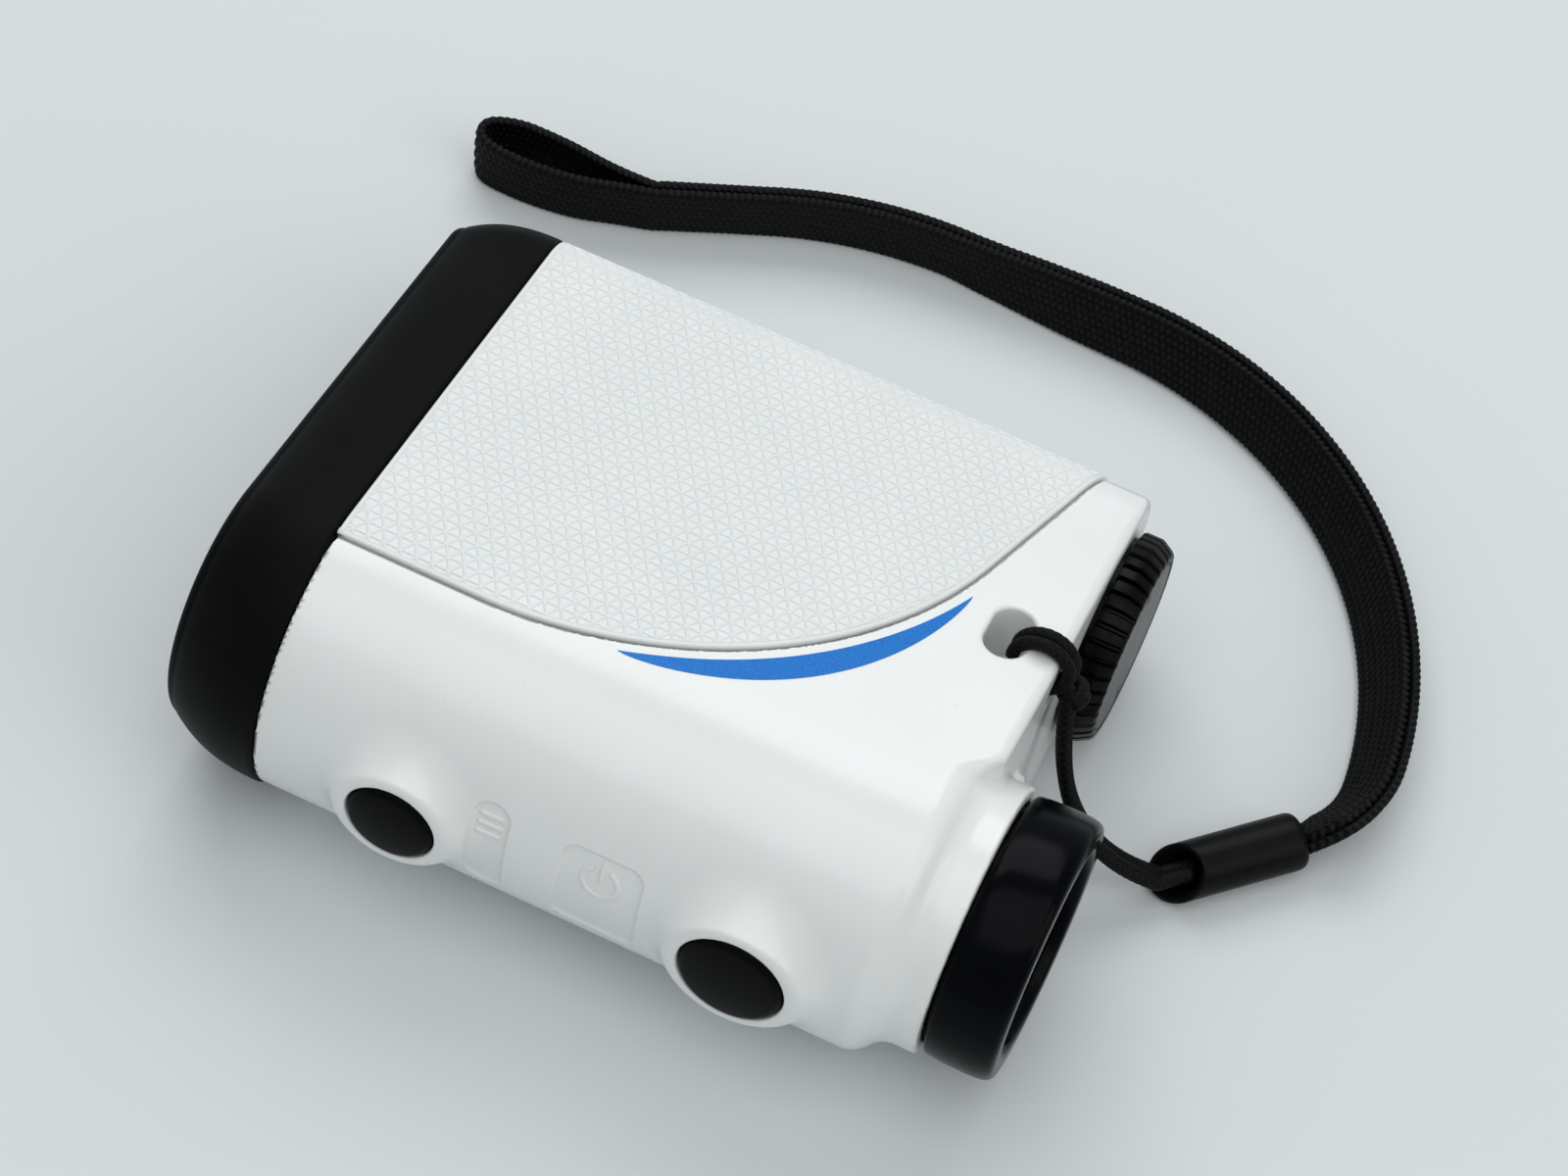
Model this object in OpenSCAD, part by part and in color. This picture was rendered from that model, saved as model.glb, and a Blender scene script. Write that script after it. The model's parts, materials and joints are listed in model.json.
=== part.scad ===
// Laser rangefinder: a six-power monocular with a battery compartment beside it, lying on one side panel.
//
// Two frames are used. The device frame has +X along the optical axis towards the objective,
// its origin on that axis at the eyecup's rim, +Y towards the buttons and +Z across the thickness.
// place() carries it into the part's own frame, where +Z is up and the origin is the middle of
// the flat side panel that the rangefinder rests on. The strap is drawn in the part's own frame.

/* [Body] */
// Length from the eyecup's rim to the front of the bumper
body_l = 91; // [90:0.5:94]
// Outside radius of the round tube that holds the optics
tube_r = 16.9; // [16.8:0.1:17.4]
// Distance from the optical axis to the flat edge on the battery side
edge_d = 53; // [52.8:0.1:54]
// Radius of the two corners on the battery side
corner_r = 6; // [5.8:0.1:6.4]
// Slope of each side panel towards the battery side, in degrees
panel_slope = 6.2; // [6:0.1:6.6]
// Distance from the eyecup's rim to the rear wall
wall_x = 10.8; // [10.6:0.1:11]
// Distance from the eyecup's rim to the rubber bumper
split_x = 79.6; // [79:0.1:80]

/* [Grip cover] */
// Thickness of the textured cover
cover_t = 1; // [0.8:0.1:1.1]
// Width of the groove round the cover
seam_gap = 0.35; // [0.2:0.05:0.5]
// Radius of the sweep that the groove follows
seam_r = 44; // [43:0.5:45]

/* [Eyepiece] */
// Outside radius of the eyecup
eyecup_r = 14.1; // [13.8:0.1:14.3]
// Outside radius of the white collar in front of it
collar_r = 14.4; // [14.4:0.1:14.8]
// Turn of the eyecup either way from zero dioptre, in degrees
dioptre_turn = 60; // [30:5:70]

/* [Buttons] */
// Radius of the power button
power_r = 5.6; // [5:0.1:5.8]
// Radius of the mode button
mode_r = 4.75; // [4.5:0.05:5]
// Distance from the eyecup's rim to the power button
power_x = 26.4; // [26:0.1:28]
// Distance from the eyecup's rim to the mode button
mode_x = 63.5; // [62:0.1:64]
// Height of the button bosses above the optical axis
boss_top = 18.7; // [18.4:0.1:19]

/* [Battery] */
// Radius of the lithium cell
cell_r = 7.8; // [7.7:0.1:7.8]
// Length of the lithium cell without its nub
cell_l = 26.4; // [26:0.1:26.5]
// Radius over the battery cap's ribs
cap_r = 11.5; // [11:0.1:11.8]
// Number of ribs round the battery cap
cap_ribs = 40; // [36:1:44]

/* [Strap] */
// Height of the woven band as it stands on edge
band_h = 7.8; // [7:0.1:8.5]
// Thickness of one layer of the band
band_t = 1.1; // [0.9:0.1:1.2]
// Radius of the ferrule that joins cord and band
ferrule_r = 3.1; // [3:0.1:3.3]

/* [Hidden] */
$fn = 64;

run_gap = 0.05;   // running clearance between parts that move on each other
fit_gap = 0.05;   // gap between parts that are assembled and stay put
lens_steps = 8;   // straight steps from the middle of a lens face to its edge
cut = 0.1;        // how far a cutting tool runs past the face it cuts

// The D-shaped section: a circle for the tube and two corner circles joined by tangents.
corner_y = -edge_d + corner_r;
corner_z = (tube_r - corner_r + corner_y * sin(panel_slope)) / cos(panel_slope);
proud = 0.3;                           // how far the cover and the bumper stand above the shell
rest_x = (wall_x + split_x) / 2;
rest_y = -(edge_d - corner_r) / 2;

shell_t = 1.55;                        // wall behind the grip cover's recess
recess = cover_t + fit_gap;
edge_round = 0.4;                      // how far the cover stops short of the rear wall
hollow_inset = recess + shell_t;
spigot_inset = 1.35;                   // front spigot that the bumper slips over
spigot_t = 1.5;
spigot_x = split_x + 4;
rear_wall_t = 2.2;
hollow_r = tube_r - hollow_inset;

collar_x = 7.85;
collar_blend_x = 13.8;                 // where the tube reaches its full radius
collar_bore_r = 12.55;

seam_y = 1.7;                          // the groove's height beside the bumper
seam_start_x = 64;
seam_turn = 75;                        // how far the groove's sweep turns, in degrees
seam_steps = 24;

boss_w = 1.75;                         // wall round each button
button_gap = 0.1;
flange_w = 0.8;
pocket_top = 14;
stroke = 0.5;

axis_cell_y = -40.4;                   // battery axis
port_r = 9.3;
port_l = 4.4;
cap_face_x = 6.6;
head_end_x = wall_x - 0.5;
spigot_end_x = 14.4;
cell_x = 17.6;
lead = 1.5;                            // battery cap's thread, per turn

eyelet_d = 22;                         // along the side panel, from where the panel leaves the tube
eyelet_r = 2.25;
eyelet_l = 7.2;
eyelet_x = 16.75;
eyelet_depth = 6;
bar_half = 1.8;
bar_corner = 0.9;
bar_x = wall_x + bar_half + 0.1;
bar_z = -bar_half - 0.05;

laser_y = -30;
laser_r = 8.2;
objective_r = 12.2;
frame_x = spigot_x + 0.4;
frame_t = 2.4;
plate_inset = 5;
plate_x = frame_x + frame_t + 0.2;
plate_end_x = body_l - 1;
front_inset = 3.2;

screw_r = 0.8;
screw_head_r = 1.5;
screw_boss_r = 2.7;
screw_spots = [[-17, 10.2], [-17, -10.2], [-47.2, 6.4], [-47.2, -6.4]];
chassis_y = -11.2;
chassis_t = 1.5;
holder_bottom = chassis_y + chassis_t + fit_gap;
holder_x = 24;
holder_l = 27.2;
holder_z = 10.3;
holder_top = 9.4;
splitter_x = 57;
splitter_w = 11;
board_y = 9.8;
board_t = 0.8;

white = [0.93, 0.94, 0.94];
black = [0.06, 0.06, 0.07];
rubber = [0.09, 0.09, 0.1];
metal = [0.62, 0.63, 0.65];
glass = [0.7, 0.85, 0.9, 0.5];
pcb = [0.05, 0.35, 0.2];
brass = [0.78, 0.62, 0.28];

// ---- frames and sections ----

module place() {
    translate([-rest_x, -rest_y, tube_r + proud])
        rotate([panel_slope, 0, 0])
            children();
}

// Raises a flat outline, drawn in Y and Z, along the device's X axis.
module along_x(x0, x1) {
    translate([x0, 0, 0])
        rotate([90, 0, 90])
            linear_extrude(x1 - x0)
                children();
}

module x_cylinder(x0, x1, r, y = 0, z = 0, fn = 64) {
    translate([x0, y, z])
        rotate([0, 90, 0])
            cylinder(h = x1 - x0, r = r, $fn = fn);
}

module x_ring(x0, x1, outer, inner, y = 0, z = 0) {
    difference() {
        x_cylinder(x0, x1, outer, y, z);
        x_cylinder(x0 - cut, x1 + cut, inner, y, z);
    }
}

// Turns a profile of [radius, x] points about a line parallel to the X axis.
module turned(profile, y = 0) {
    translate([0, y, 0])
        rotate([0, 90, 0])
            rotate_extrude()
                polygon(profile);
}

// How far a spherical face of radius sphere_r falls away between its middle and radius r.
function sag(sphere_r, r) = sphere_r - sqrt(sphere_r * sphere_r - r * r);

// One face of a lens as profile points. The curve is positive where the face bulges, 0 where flat.
function lens_face(x, r, curve, way) =
    [for (i = [0:lens_steps])
        let (q = r * i / lens_steps)
        [q, x + (curve == 0 ? 0 : way * sign(curve) * (sag(abs(curve), q)))]];

module lens(x0, x1, r, rear_curve, front_curve, y = 0) {
    rear = lens_face(x0, r, rear_curve, 1);
    front = lens_face(x1, r, front_curve, -1);
    turned(concat(rear, [for (i = [lens_steps:-1:1]) front[i]], [[0, x1]]), y);
}

module section(inset = 0, fn = 64) {
    r = tube_r - inset;
    c = corner_r - inset;
    n = [-sin(panel_slope), cos(panel_slope)];
    circle(r, $fn = fn);
    for (s = [-1, 1])
        translate([corner_y, s * corner_z])
            circle(c, $fn = fn);
    polygon([
        [r * n.x, r * n.y],
        [corner_y + c * n.x, corner_z + c * n.y],
        [corner_y - c, corner_z],
        [corner_y - c, -corner_z],
        [corner_y + c * n.x, -corner_z - c * n.y],
        [r * n.x, -r * n.y]
    ]);
}

// Puts a button's parts on its axis, with local +Z pointing out of the body.
module at_button(x) {
    translate([x, 0, 0])
        rotate([-90, 0, 0])
            children();
}

// Puts a feature on the upper side panel, with local +Z pointing out of the panel.
module on_panel(x, d) {
    rotate([panel_slope, 0, 0])
        translate([x, -d, tube_r])
            children();
}

// The cover's outline from the side: a straight run, a sweep and a straight run to the battery edge.
function seam_points(gap) =
    let (
        r = seam_r - gap,
        cx = seam_start_x,
        cy = seam_y - seam_r,
        end = [cx - r * sin(seam_turn), cy + r * cos(seam_turn)],
        down = [-cos(seam_turn), -sin(seam_turn)],
        run = (end.y + edge_d + 5) / sin(seam_turn)
    )
    concat(
        [[split_x, cy + r]],
        [for (i = [0:seam_steps])
            let (a = seam_turn * i / seam_steps)
            [cx - r * sin(a), cy + r * cos(a)]],
        [end + run * down, [split_x, -edge_d - 5]]
    );

module seam_prism(gap) {
    translate([0, 0, -2 * tube_r])
        linear_extrude(4 * tube_r)
            polygon(seam_points(gap));
}

// ---- housing ----

module collar_cutter() {
    intersection() {
        turned([[collar_r, wall_x - 1], [collar_r, 11.6], [tube_r + 0.2, collar_blend_x],
            [2 * tube_r, collar_blend_x], [2 * tube_r, wall_x - 1]]);
        translate([0, -10.5, -2 * tube_r])
            cube([collar_blend_x + 1, 4 * tube_r, 4 * tube_r]);
    }
}

module eyelet_cut() {
    on_panel(eyelet_x, eyelet_d)
        translate([0, 0, -eyelet_depth]) {
            for (s = [-1, 1])
                translate([0, s * (eyelet_l / 2 - eyelet_r), 0])
                    cylinder(h = eyelet_depth + 2, r = eyelet_r);
            translate([-eyelet_r, -eyelet_l / 2 + eyelet_r, 0])
                cube([2 * eyelet_r, eyelet_l - 2 * eyelet_r, eyelet_depth + 2]);
        }
    on_panel(wall_x - 1, eyelet_d)
        translate([0, -eyelet_l / 2 + 0.6, -eyelet_depth])
            cube([eyelet_x - wall_x + 1, eyelet_l - 1.2, eyelet_depth + 2]);
}

// The bar is square with rounded edges, and its outer face is level with the side panel.
module eyelet_bar() {
    flat = bar_half - bar_corner;
    on_panel(bar_x, eyelet_d)
        translate([0, eyelet_l / 2 + 0.4, bar_z])
            rotate([90, 0, 0])
                linear_extrude(eyelet_l + 0.8) {
                    for (x = [-flat, flat], y = [-flat, flat])
                        translate([x, y]) circle(bar_corner);
                    square([2 * bar_half, 2 * flat], center = true);
                    square([2 * flat, 2 * bar_half], center = true);
                }
}

module eyelet_pocket() {
    wall = 1.2;
    on_panel(wall_x + 0.4, eyelet_d)
        translate([0, -eyelet_l / 2 - wall, -eyelet_depth - wall])
            cube([eyelet_x + eyelet_r + wall - wall_x - 0.4, eyelet_l + 2 * wall, eyelet_depth]);
}

module main_shell() {
    color(white) place() {
        difference() {
            union() {
                difference() {
                    union() {
                        along_x(wall_x, split_x) section();
                        along_x(split_x - cut, spigot_x) section(spigot_inset);
                    }
                    along_x(wall_x + rear_wall_t, split_x - 5) section(hollow_inset);
                    along_x(split_x - 5 - cut, spigot_x + cut) section(spigot_inset + spigot_t);
                    collar_cutter();
                    intersection() {
                        along_x(wall_x, split_x) difference() {
                            section(-1);
                            section(recess);
                        }
                        seam_prism(0);
                    }
                }
                x_cylinder(collar_x, wall_x + 0.5, collar_r);
                for (b = [[power_x, power_r], [mode_x, mode_r]])
                    at_button(b[0])
                        translate([0, 0, pocket_top])
                            cylinder(h = boss_top - pocket_top, r = b[1] + boss_w);
                x_cylinder(wall_x + cut, wall_x + port_l, port_r + 1.7, axis_cell_y);
                for (s = screw_spots)
                    x_cylinder(split_x - 9, spigot_x, screw_boss_r, s[0], s[1]);
                eyelet_pocket();
            }
            x_cylinder(collar_x - cut, wall_x + rear_wall_t + cut, collar_bore_r);
            x_cylinder(wall_x - cut, wall_x + port_l + cut, port_r, axis_cell_y);
            for (b = [[power_x, power_r], [mode_x, mode_r]])
                at_button(b[0]) {
                    cylinder(h = boss_top + 1, r = b[1] + button_gap);
                    translate([0, 0, pocket_top - 4])
                        cylinder(h = 4, r = b[1] + flange_w + 0.3);
                }
            for (s = screw_spots)
                x_cylinder(split_x - 6, spigot_x + cut, screw_r + fit_gap, s[0], s[1], 32);
            eyelet_cut();
        }
        eyelet_bar();
    }
}

// One closed ring of the body's outline as points [y, z], drawn in by inset.
function outline(inset) =
    let (
        tube = 90 + panel_slope,
        turn = 90 - panel_slope,
        r = tube_r - inset,
        c = corner_r - inset
    )
    concat(
        [for (i = [-14:14]) let (a = tube * i / 14) [r * cos(a), r * sin(a)]],
        [for (i = [0:6])
            let (a = tube + turn * i / 6)
            [corner_y + c * cos(a), corner_z + c * sin(a)]],
        [for (i = [6:-1:0])
            let (a = tube + turn * i / 6)
            [corner_y + c * cos(a), -corner_z - c * sin(a)]]
    );

module grip_cover() {
    color(white) place()
        intersection() {
            along_x(wall_x + edge_round, split_x - fit_gap)
                difference() {
                    polygon(outline(-proud));
                    polygon(outline(cover_t));
                }
            seam_prism(seam_gap);
        }
}

// The bumper's sides draw in towards the front face along a smooth curve.
function bumper_inset(x) =
    (front_inset + proud) * pow((x - split_x) / (body_l - split_x), 2.6) - proud;

// Joins outlines into a closed tube with a thick wall. Each row is [x, inset], and the last row
// meets the first.
module lofted(rows) {
    rings = [for (row = rows) [for (p = outline(row[1])) [row[0], p.x, p.y]]];
    n = len(rings[0]);
    m = len(rings);
    polyhedron(
        points = [for (ring = rings) each ring],
        faces = [for (i = [0:m - 1], j = [0:n - 1])
            let (next_i = (i + 1) % m, next_j = (j + 1) % n)
            [i * n + j, next_i * n + j, next_i * n + next_j, i * n + next_j]]
    );
}

module front_bumper() {
    steps = 8;
    rear = split_x + fit_gap;
    step_x = plate_x - fit_gap;
    outside = [for (i = [0:steps])
        let (x = rear + (body_l - rear) * sqrt(i / steps))
        [x, bumper_inset(x)]];
    inside = [
        [body_l, plate_inset],
        [step_x, plate_inset],
        [step_x, spigot_inset - fit_gap],
        [rear, spigot_inset - fit_gap]
    ];
    color(rubber) place() lofted(concat(outside, inside));
}

module front_frame() {
    color(black) place()
        difference() {
            along_x(frame_x, frame_x + frame_t) section(spigot_inset);
            x_cylinder(frame_x - cut, frame_x + frame_t + cut, objective_r + fit_gap);
            x_cylinder(frame_x - cut, frame_x + frame_t + cut, laser_r + fit_gap, laser_y);
            for (s = screw_spots) {
                x_cylinder(frame_x - cut, frame_x + frame_t + cut, screw_r + fit_gap, s[0], s[1], 32);
                x_cylinder(frame_x + 1.3, frame_x + frame_t + cut, screw_head_r + 0.1, s[0], s[1], 32);
            }
        }
}

module front_gasket() {
    color(rubber) place()
        difference() {
            along_x(spigot_x + 0.02, frame_x - 0.02) difference() {
                section(spigot_inset + 0.05);
                section(spigot_inset + spigot_t - 0.05);
            }
            for (s = screw_spots)
                x_cylinder(spigot_x - cut, frame_x + cut, screw_head_r, s[0], s[1], 32);
        }
}

module front_plate() {
    color(black) place()
        difference() {
            along_x(plate_x, plate_end_x) section(plate_inset + fit_gap);
            x_cylinder(plate_x - cut, plate_end_x + cut, 10.6);
            x_cylinder(plate_x - cut, plate_end_x + cut, 7, laser_y);
        }
}

module front_screws() {
    color(metal) place()
        for (s = screw_spots)
            difference() {
                union() {
                    x_cylinder(split_x - 4, frame_x + 1.4, screw_r, s[0], s[1], 32);
                    x_cylinder(frame_x + 1.3 + 0.02, frame_x + 2.3, screw_head_r, s[0], s[1], 32);
                }
                translate([frame_x + 2, s[0] - 1, s[1] - 0.2]) cube([1, 2, 0.4]);
                translate([frame_x + 2, s[0] - 0.2, s[1] - 1]) cube([1, 0.4, 2]);
            }
}

module chassis() {
    half = 11.9;
    color(black) place()
        difference() {
            translate([holder_x, chassis_y, -half]) cube([44, chassis_t, 2 * half]);
            translate([splitter_x, chassis_y - cut, 0])
                rotate([-90, 0, 0]) cylinder(h = chassis_t + 2 * cut, r = 3.4);
            chassis_screw_spots() cylinder(h = 6, r = screw_r + fit_gap, $fn = 32);
        }
}

module chassis_screw_spots() {
    for (x = [holder_x + 3, holder_x + holder_l - 3], z = [-8.6, 8.6])
        translate([x, chassis_y - 1, z])
            rotate([-90, 0, 0])
                children();
}

module chassis_screws() {
    color(metal) place()
        chassis_screw_spots() {
            cylinder(h = 4.6, r = screw_r, $fn = 32);
            cylinder(h = 0.95, r = screw_head_r, $fn = 32);
        }
}

// ---- optics ----

module objective_cell() {
    color(black) place()
        turned([[11, 77.6], [11, 86.4], [objective_r, 86.4], [objective_r, frame_x - 0.1],
            [13.4, frame_x - 0.1], [13.4, frame_x - 1.4], [objective_r, frame_x - 1.4],
            [objective_r, 72], [9.4, 69.5], [8.2, 69.5], [10, 72.5], [10, 77.6]]);
}

module objective_front_lens() {
    color(glass) place()
        lens(80.7, 84.6, 10.95, 60, 42);
}

module objective_rear_lens() {
    color(glass) place()
        lens(77.7, 80.6, 10.95, 0, -60);
}

module objective_retainer() {
    color(black) place()
        x_ring(84.4, 86.3, 10.95, 9.9);
}

module beam_splitter() {
    half = splitter_w / 2;
    gap = 0.03;
    color(glass) place()
        for (s = [-1, 1])
            translate([splitter_x, 0, -half])
                linear_extrude(splitter_w)
                    polygon([
                        [s * gap - half, s * gap + half],
                        [s * half, s * half],
                        [s * gap + half, s * gap - half]
                    ]);
}

module prism(outline) {
    depth = 8;
    color(glass) place()
        translate([0, 0, -depth])
            linear_extrude(2 * depth)
                polygon(outline);
}

module helper_prism() {
    prism([[26, -7.6], [26, 7.6], [31, 7.6], [41, -7.6]]);
}

module roof_prism() {
    prism([[31.4, 7.6], [50, 7.6], [50, -1], [44, -7.6], [41.4, -7.6]]);
}

module prism_holder() {
    wall = 1.1;
    color(black) place()
        difference() {
            translate([holder_x, holder_bottom, -holder_z])
                cube([holder_l, holder_top - holder_bottom, 2 * holder_z]);
            translate([holder_x + wall, -7.8, -holder_z + wall])
                cube([holder_l - 2 * wall, 15.6, 2 * (holder_z - wall)]);
            x_cylinder(holder_x - cut, holder_x + holder_l + cut, 6.5);
            chassis_screw_spots() cylinder(h = 4.7, r = screw_r + fit_gap, $fn = 32);
        }
}

module field_stop() {
    color(black) place()
        x_ring(21.3, 22.1, 10.3, 5);
}

module reticle_display() {
    color(glass) place()
        translate([22.4, -6.5, -6.5])
            cube([1.1, 13, 13]);
}

module detector() {
    color(brass) place()
        translate([splitter_x, -12.9, 0])
            rotate([-90, 0, 0]) {
                cylinder(h = 0.6, r = 3.2);
                cylinder(h = 3.6, r = 2.7);
            }
}

module detector_board() {
    color(pcb) place()
        translate([splitter_x - 5, -13.8, -5])
            cube([10, board_t, 10]);
}

module laser_tube() {
    color(black) place()
        difference() {
            x_cylinder(63, 86.4, laser_r, laser_y);
            x_cylinder(66, 87, 7.1, laser_y);
            x_cylinder(62, 67, 2.9, laser_y);
        }
}

module laser_lens() {
    color(glass) place()
        lens(80.5, 84.2, 7.05, 0, 18, laser_y);
}

module laser_retainer() {
    color(black) place()
        x_ring(84.4, 86.2, 7.05, 6.2, laser_y);
}

module laser_diode() {
    color(brass) place() {
        x_cylinder(61.9, 62.9, 4.2, laser_y);
        x_cylinder(62.8, 66.2, 2.8, laser_y);
    }
}

module laser_board() {
    color(pcb) place()
        translate([61, laser_y - 7, -7])
            cube([board_t, 14, 14]);
}

// ---- electronics ----

main_board_z = -4;

module main_board() {
    color(pcb) place()
        translate([18.5, -29, main_board_z])
            cube([41, 14, board_t]);
}

module board_parts() {
    // chips on the main board: position along X, position along Y, length, width, height
    chips = [[24, -24, 7, 7, 1], [34, -23, 9, 6, 1.2], [47, -24, 5, 5, 0.9], [53, -20, 3, 5, 1.6]];
    color([0.12, 0.12, 0.13]) place()
        for (c = chips)
            translate([c[0], c[1], main_board_z + board_t])
                cube([c[2], c[3], c[4]]);
}

module flex_cable() {
    flex_t = 0.15;
    flex_w = 1.5;
    x = 22.3;
    z = -9.5;
    y0 = -28;
    y1 = board_y + 0.3;
    color([0.75, 0.45, 0.12]) place() {
        translate([x, y0, z - flex_t]) cube([flex_w, y1 - y0, flex_t]);
        translate([x, y0, z - flex_t]) cube([flex_w, flex_t, main_board_z - z]);
        translate([x, y1 - flex_t, z - flex_t]) cube([flex_w, flex_t, 4]);
    }
}

module button_board() {
    color(pcb) place()
        translate([22.4, board_y, -5.2])
            cube([46.8, board_t, 10.4]);
}

module tact_switches() {
    color(metal) place()
        for (x = [power_x, mode_x])
            at_button(x)
                translate([0, 0, board_y + board_t]) {
                    translate([-2, -2, 0]) cube([4, 4, 0.9]);
                    cylinder(h = 1.3, r = 1);
                }
}

// ---- buttons ----

module push_button(x, r) {
    groove_z = 16;
    dome_h = 0.7;
    rim_z = boss_top + 0.05;
    dome_r = (r * r + dome_h * dome_h) / (2 * dome_h);
    place() at_button(x)
        difference() {
            union() {
                intersection() {
                    cylinder(h = rim_z + dome_h, r = r);
                    translate([0, 0, rim_z + dome_h - dome_r]) sphere(dome_r, $fn = 128);
                    translate([0, 0, pocket_top - 1.1]) cylinder(h = 10, r = r + 1);
                }
                translate([0, 0, pocket_top - 1.1]) cylinder(h = 1, r = r + flange_w);
                translate([0, 0, 12.5]) cylinder(h = 1, r = 1.6, $fn = 32);
            }
            difference() {
                translate([0, 0, groove_z]) cylinder(h = 0.9, r = r + 1);
                translate([0, 0, groove_z - cut]) cylinder(h = 1.1, r = r - 0.6);
            }
        }
}

module button_seal(x, r) {
    place() at_button(x)
        difference() {
            translate([0, 0, 16.05]) cylinder(h = 0.8, r = r + 0.06);
            translate([0, 0, 15]) cylinder(h = 3, r = r - 0.55);
        }
}

module power_button() { color(black) push_button(power_x, power_r); }
module power_seal() { color(rubber) button_seal(power_x, power_r); }
module mode_button() { color(black) push_button(mode_x, mode_r); }
module mode_seal() { color(rubber) button_seal(mode_x, mode_r); }

// ---- eyepiece ----

sleeve_r = 11.6;
sleeve_bore = 10.55;

module eyecup() {
    color(rubber) place()
        turned([[12.6, 0], [13.3, 0.4], [13.8, 1.2], [eyecup_r, 2.4], [eyecup_r, 6.2],
            [13.8, 7.35], [sleeve_r + 0.02, 7.35], [sleeve_r + 0.02, 1.3], [10.8, 1.3],
            [10.8, 0.5], [11.3, 0]]);
}

module dioptre_sleeve() {
    color(black) place()
        difference() {
            union() {
                x_cylinder(1.35, 7.9, sleeve_r);
                x_cylinder(7.8, 13.05, collar_bore_r - run_gap);
                x_cylinder(13, 15, 11.9);
            }
            x_cylinder(0, 16, sleeve_bore);
            difference() {
                x_cylinder(9.8, 11, 14);
                x_cylinder(9, 12, 11.65);
            }
        }
}

module sleeve_ring() {
    color(metal) place()
        x_ring(13.1, 14.5, 13.6, 11.92);
}

module sleeve_seal() {
    color(rubber) place()
        x_ring(9.85, 10.95, 12.52, 11.67);
}

module eyepiece_cell() {
    outer = sleeve_bore - run_gap;
    color(black) place()
        turned([[8.6, 2.2], [outer, 2.2], [outer, 19.5], [9.3, 19.5], [9.3, 12.6], [8, 12.6],
            [8, 7.2], [8.6, 7.2]]);
}

module eye_lens() {
    color(glass) place()
        lens(3.4, 7, 8.55, 22, 26);
}

module field_lens() {
    color(glass) place()
        lens(12.7, 16.6, 9.25, 24, 0);
}

module eyepiece_retainers() {
    color(black) place() {
        x_ring(2.4, 3.9, 8.57, 7.5);
        x_ring(17, 18.2, 9.27, 8.1);
    }
}

// ---- battery ----

module battery_tube() {
    color(black) place() {
        difference() {
            union() {
                x_cylinder(wall_x + port_l + 0.1, wall_x + port_l + 1.3, 9.7, axis_cell_y);
                x_cylinder(wall_x + port_l + 0.1, 47.4, 9.2, axis_cell_y);
            }
            x_cylinder(wall_x, 46.2, cell_r + 0.3, axis_cell_y);
        }
    }
}

module tube_contact() {
    color(brass) place()
        x_cylinder(45.2, 46.15, 5, axis_cell_y);
}

module battery() {
    color([0.16, 0.17, 0.19]) place() {
        x_cylinder(cell_x, cell_x + cell_l, cell_r, axis_cell_y);
        x_cylinder(cell_x + cell_l - 0.1, cell_x + cell_l + 0.9, 3.2, axis_cell_y);
    }
}

module cap_contact() {
    color(brass) place()
        turned([[0, head_end_x + 0.05], [7.2, head_end_x + 0.05], [7.2, 10.8], [4.4, 10.8],
            [2.6, cell_x - 0.2], [0, cell_x - 0.2]], axis_cell_y);
}

// A rib and a groove in turn round the cap, as an outline.
function rib_outline() =
    let (steps = 4 * cap_ribs)
    [for (i = [0:steps - 1])
        let (r = (i % 4 < 2) ? cap_r : cap_r - 0.5, a = 360 * i / steps)
        [r * cos(a), r * sin(a)]];

module battery_cap() {
    bevel_x = cap_face_x + 1.4;
    color(black) place()
        difference() {
            union() {
                intersection() {
                    translate([0, axis_cell_y, 0])
                        along_x(cap_face_x, head_end_x) polygon(rib_outline());
                    turned([[0, cap_face_x], [cap_r - 0.9, cap_face_x], [cap_r + 0.05, bevel_x],
                        [cap_r + 0.05, head_end_x], [0, head_end_x]], axis_cell_y);
                }
                x_cylinder(head_end_x - cut, spigot_end_x, port_r - button_gap, axis_cell_y);
            }
            x_cylinder(head_end_x, spigot_end_x + cut, 7.4, axis_cell_y);
        }
}

module cap_seal() {
    color(rubber) place()
        x_ring(head_end_x + 0.02, wall_x - 0.02, 10.6, port_r + 0.1, axis_cell_y);
}

// ---- strap, in the part's own frame ----

// The hitch is two turns of cord round the eyelet's bar, with a knot behind the rear wall. The knot is
// drawn clear of the turns by a hair.
cord_r = 0.8;
turn_r = (bar_half - bar_corner) * sqrt(2) + bar_corner + 0.1 + cord_r;
turn_spread = 0.9;
knot = [-37, -1.2, 24.2];
knot_r = 1.4;

// The doubled cord falls from the knot and bends along the table to the ferrule.
strand_r = 1.15;
cord_start = 0.135;
cord_steps = 7;
cord_drop = [-38.8, 8, 10];
ferrule_z = ferrule_r + 0.06;
ferrule_in = [-50.9, 2, ferrule_z];
ferrule_out = [-62.5, -9.6, ferrule_z];
function cord_point(t) =
    (1 - t) * (1 - t) * knot + 2 * t * (1 - t) * cord_drop + t * t * ferrule_in;

module strap_hitch() {
    color(black) {
        place()
            on_panel(bar_x, eyelet_d)
                for (s = [-1, 1])
                    translate([0, s * turn_spread, bar_z])
                        rotate([90, 0, 0])
                            rotate_extrude()
                                translate([turn_r, 0]) circle(cord_r, $fn = 24);
        translate(knot) sphere(knot_r, $fn = 32);
    }
}

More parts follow.
